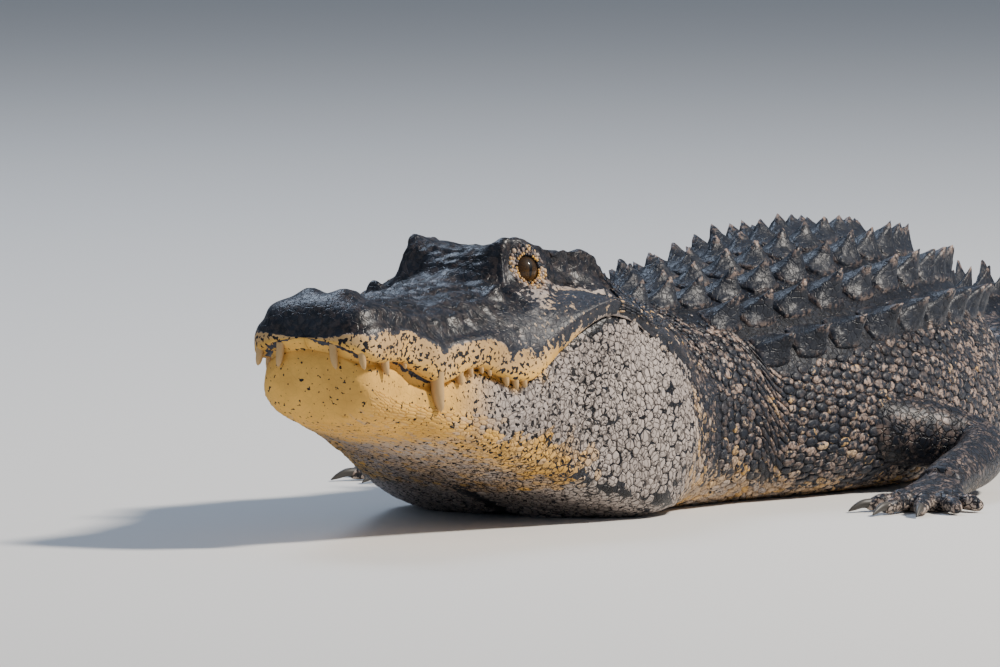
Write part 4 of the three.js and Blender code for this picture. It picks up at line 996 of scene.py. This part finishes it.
def fused(name, parts):
    """One skin round overlapping tubes: they are filled with small cubes, skinned and smoothed."""
    rough = add_mesh(name + "_rough", *joined(parts))
    remesh = rough.modifiers.new("fuse", "REMESH")
    remesh.mode = "VOXEL"
    remesh.voxel_size = VOXEL
    ease = rough.modifiers.new("ease", "SMOOTH")
    ease.factor, ease.iterations = .5, 5
    done = rough.evaluated_get(bpy.context.evaluated_depsgraph_get()).to_mesh()
    points = np.empty(len(done.vertices) * 3)
    done.vertices.foreach_get("co", points)
    points = points.reshape(-1, 3)
    points[:, 2] = np.maximum(points[:, 2], 0)
    faces = [list(face.vertices) for face in done.polygons]
    bpy.data.objects.remove(rough)
    return add_mesh(name, points, faces)


claw_mat = bpy.data.materials.new("claw")
claw_mat.use_nodes = True
claw_mat.node_tree.nodes["Principled BSDF"].inputs["Base Color"].default_value = (.05, .045, .04, 1)
for word, side in (("left", 1), ("right", -1)):
    for end, stops, plan in (("fore", FORELEG, FOREFOOT), ("hind", HINDLEG, HINDFOOT)):
        back, left, height, half_width, half_height = np.array(stops).T
        leg = tube(placed(body_raw(back, side * left, height)), half_width, half_height, 32, 10)
        parts, claws = foot_parts(plan, stops, side)
        limb = fused(end + "_limb_" + word, [leg] + parts)
        limb.data.materials.append(limb_mat)
        limb_points = np.array([v.co for v in limb.data.vertices])
        tone = .25 + .3 * rumple(limb_points, .02, 21)
        low = smooth(.03, .0, limb_points[:, 2]) * .6
        paint(limb, np.clip(np.stack([low, 0 * low + .4, 0 * low + .3, tone], -1), 0, 1), 0 * low + 1)
        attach(limb, "root")
        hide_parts(end + "leg_" + word, end + "foot_" + word)
        claw = add_mesh(end + "_claws_" + word, *joined(claws))
        claw.data.materials.append(claw_mat)
        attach(claw, "root")

# Eyes
# A ball in each socket with a flecked brown iris, darker in its upper half, and an upright slit.
# The clear front is the coat of the same ball.
EYE_AT = (.6913, .1211, .2173)
IRIS_BROWN = (.036, .019, .006, 1)
IRIS_AMBER = (.12, .058, .013, 1)
IRIS_SHADE = (.010, .007, .006, 1)
IRIS_RIM = (.012, .008, .006, 1)
PUPIL = (.002, .002, .003, 1)
eye_mat = bpy.data.materials.new("eye")
eye_mat.use_nodes = True
tree = eye_mat.node_tree
gaze = add_node(tree, "Attribute", attribute_name="gaze").outputs["Vector"]
facing = add_node(tree, "SeparateXYZ", {0: gaze}).outputs
outward = sums(tree, "SQRT", sums(tree, "ADD", sums(tree, "MULTIPLY", facing[0], facing[0]),
                                  sums(tree, "MULTIPLY", facing[1], facing[1])))
spokes = add_node(tree, "VectorMath", {0: gaze, 1: (9.0, 9.0, 1.0)}, operation="MULTIPLY").outputs[0]
streaks = add_node(tree, "TexNoise", {"Vector": spokes, "Scale": 1.6, "Detail": 5.0})
lower = ramp(tree, facing[1], .35, -.75)
iris = blend(tree, ramp(tree, streaks.outputs[0], .35, .7), IRIS_BROWN, IRIS_AMBER)
iris = blend(tree, lower, blend(tree, .72, iris, IRIS_SHADE), iris)
iris = blend(tree, ramp(tree, outward, .72, .84), iris, IRIS_RIM)
slit_across = sums(tree, "MULTIPLY", sums(tree, "ABSOLUTE", facing[0]), 8.5)
slit_up = sums(tree, "MULTIPLY", sums(tree, "ABSOLUTE", facing[1]), 1.8)
slit = sums(tree, "ADD", sums(tree, "POWER", slit_across, 2.0), sums(tree, "POWER", slit_up, 2.0))
iris = blend(tree, ramp(tree, slit, 1.15, .85), iris, PUPIL)
eye_shader = tree.nodes["Principled BSDF"]
tree.links.new(iris, eye_shader.inputs["Base Color"])
eye_shader.inputs["Roughness"].default_value = .5
eye_shader.inputs["Specular IOR Level"].default_value = .1
eye_shader.inputs["Coat Weight"].default_value = .35
eye_shader.inputs["Coat Roughness"].default_value = .06


def eye_axes(side):
    """Directions that the eye on the left (1) or the right (-1) looks, and beside and up its opening."""
    way = head_vector(EYE_WAY[0], side * EYE_WAY[1], EYE_WAY[2])
    lift = head_vector(0, 0, 1) - way * (head_vector(0, 0, 1) @ way)
    lift /= np.linalg.norm(lift)
    return way, np.cross(lift, way), lift


for word, side in (("left", 1), ("right", -1)):
    middle = placed(head_raw(EYE_AT[0], side * EYE_AT[1], EYE_AT[2])).reshape(3)
    way, beside, lift = eye_axes(side)
    polar = np.linspace(0, math.pi, 41)[:, None, None]
    round_it = np.linspace(0, 2 * math.pi, 64, endpoint=False)[None, :, None]
    local = (np.sin(polar) * np.cos(round_it), np.sin(polar) * np.sin(round_it), np.cos(polar))
    ball = middle + EYE_RADIUS * HEAD * (way * np.cos(polar) + np.sin(polar) * (beside * np.cos(round_it)
                                                                               + lift * np.sin(round_it)))
    eyeball = add_mesh("eyeball_" + word, ball.reshape(-1, 3), grid_faces(41, 64, closed=True), eye_mat)
    local = np.stack(np.broadcast_arrays(*local), -1).astype(np.float32)
    eyeball.data.attributes.new("gaze", "FLOAT_VECTOR", "POINT").data.foreach_set("vector", local.ravel())
    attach(eyeball, "root")
    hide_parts("eye_" + word)

# Lids
# Horny pebbles on the rings of skin round each opening, small at the rim and larger outwards. Cream and tan
# ones lie among dark ones.
PEBBLE_ROWS = ((.0293, 30, .0033), (.0342, 29, .0040), (.0398, 30, .0046), (.0465, 32, .0050))
PEBBLE_SIDES = 10
PEBBLE_WIDTHS = (1, .95, .6)
PEBBLE_RISES = (-.5, .2, .55, .68)
RIM_DEPTH = 0.003
lid_parts, lid_marks, lid_map = [], [], []
dome_a = np.linspace(0, 2 * math.pi, PEBBLE_SIDES, endpoint=False)
for side in (-1, 1):
    middle = placed(head_raw(EYE_OPEN[0], side * EYE_OPEN[1], EYE_OPEN[2])).reshape(3)
    way, beside, lift = eye_axes(side)
    away = (skin_grid.reshape(-1, 3) - middle) / HEAD
    depth = away @ way
    close = (np.linalg.norm(away, axis=1) < .08) & (skin_out.reshape(-1, 3) @ way > -.2)
    flat = np.stack([away[close] @ beside, away[close] @ lift], 1)
    for radius, count, size in PEBBLE_ROWS:
        jitter = .5 * (count % 2) + .2 * chance.uniform(-1, 1, count)
        angle = (np.arange(count) + jitter) / count * 2 * math.pi
        oval = np.stack([np.cos(angle), np.sin(angle) * 1.04], 1)
        at = oval * (radius + .0008 * chance.normal(size=(count, 1)))
        nearest = ((at[:, None] - flat[None]) ** 2).sum(-1).argmin(1)
        rim = radius == PEBBLE_ROWS[0][0]
        deep = np.full(count, RIM_DEPTH) if rim else depth[close][nearest]
        out = np.tile(way, (count, 1)) if rim else skin_out.reshape(-1, 3)[close][nearest]
        size = size * chance.uniform(.75, 1.15, count)
        foot = middle + HEAD * (at[:, :1] * beside + at[:, 1:] * lift + deep[:, None] * way)
        first = np.cross(out, [0.3, 0.2, 0.9])
        first /= np.linalg.norm(first, axis=1, keepdims=True)
        second = np.cross(out, first)
        disc = first[:, None] * np.cos(dome_a)[:, None] + second[:, None] * np.sin(dome_a)[:, None]
        big = (size * HEAD)[:, None, None]
        rings = [foot[:, None] + disc * big * wide + out[:, None] * big * rise
                 for wide, rise in zip(PEBBLE_WIDTHS, PEBBLE_RISES)]
        rings = np.concatenate(rings + [foot[:, None] + out[:, None] * big * PEBBLE_RISES[-1]], 1)
        lid_parts.append((rings.reshape(-1, 3), dome_faces(PEBBLE_SIDES, count)))
        low = smooth(.5, -.5, np.sin(angle))
        pale = np.where(chance.random(count) < .3 + .5 * low, .85, .1)
        warm = np.full(count, 1.0) if rim else chance.uniform(.2, .8, count)
        marks = np.stack([pale, warm, np.full(count, .5), chance.uniform(.3, .9, count)], 1)
        lid_marks.append(np.repeat(marks, rings.shape[1], axis=0))
        lid_map.append(at[:, None] * .8 + (.5 + side * .2, .5) + dome_patch(PEBBLE_SIDES, PEBBLE_WIDTHS))
lids = add_mesh("lids", *joined(lid_parts), scale_mat)
paint(lids, np.concatenate(lid_marks), np.zeros(len(lids.data.vertices)))
keep_map(lids, np.concatenate([part.reshape(-1, 2) for part in lid_map]))
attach(lids, "root")

# Teeth
# Curved cones of the upper jaw that stand outside the lower lip; the biggest is in the lip's deepest notch.
# Each is (place, length, root radius, share of the lip's half-width).
TEETH = [(.012, .026, .009, .65), (.03, .020, .009, 1), (.10, .026, .01, 1),
         (.175, .012, .007, 1), (.262, .058, .0155, 1), (.335, .024, .0105, 1), (.37, .018, .0085, 1),
         (.405, .013, .0075, 1), (.43, .012, .007, 1), (.478, .016, .009, 1), (.505, .017, .0095, 1),
         (.53, .014, .009, 1)]
TOOTH_ROOT = 0.024                # depth of the root in the lip
TOOTH_INSET = 0.012
TOOTH_RINGS = 12
TOOTH_SIDES = 16
tooth_mat = bpy.data.materials.new("tooth")
tooth_mat.use_nodes = True
tooth_mat.node_tree.nodes["Principled BSDF"].inputs["Base Color"].default_value = (.48, .30, .12, 1)
tooth_rings = []
for side in (-1, 1):
    for s, length, root, share in TEETH:
        t = np.linspace(0, 1, TOOTH_RINGS)[:, None]
        turn = np.linspace(0, 2 * math.pi, TOOTH_SIDES, endpoint=False)[None, :]
        point = np.sqrt(np.maximum(1 - ((t - .3) / .7) ** 2.2, 0)) * .9
        radius = root * np.where(t < .3, 1 - .1 * t / .3, point)
        up = TOOTH_ROOT - t * (length + TOOTH_ROOT)
        left = (along(LIP_WIDTH, s) * float(tip_round(s, .095, 3.4)) - TOOTH_INSET) * share
        w = side * (left + .006 * t * t) + radius * np.cos(turn)
        z = along(LIP_HEIGHT, s) + up + 0 * turn
        back = s + .25 * length * t * t + radius * np.sin(turn)
        tooth_rings.append(placed(head_raw(back, w, z)).reshape(-1, 3))
tooth_faces = grid_faces(TOOTH_RINGS, TOOTH_SIDES, closed=True)
tooth_starts = np.arange(len(tooth_rings)) * TOOTH_RINGS * TOOTH_SIDES
tooth_faces = tooth_faces[None] + tooth_starts[:, None, None]
teeth = add_mesh("teeth", np.concatenate(tooth_rings), tooth_faces.reshape(-1, 4), tooth_mat)
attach(teeth, "root")
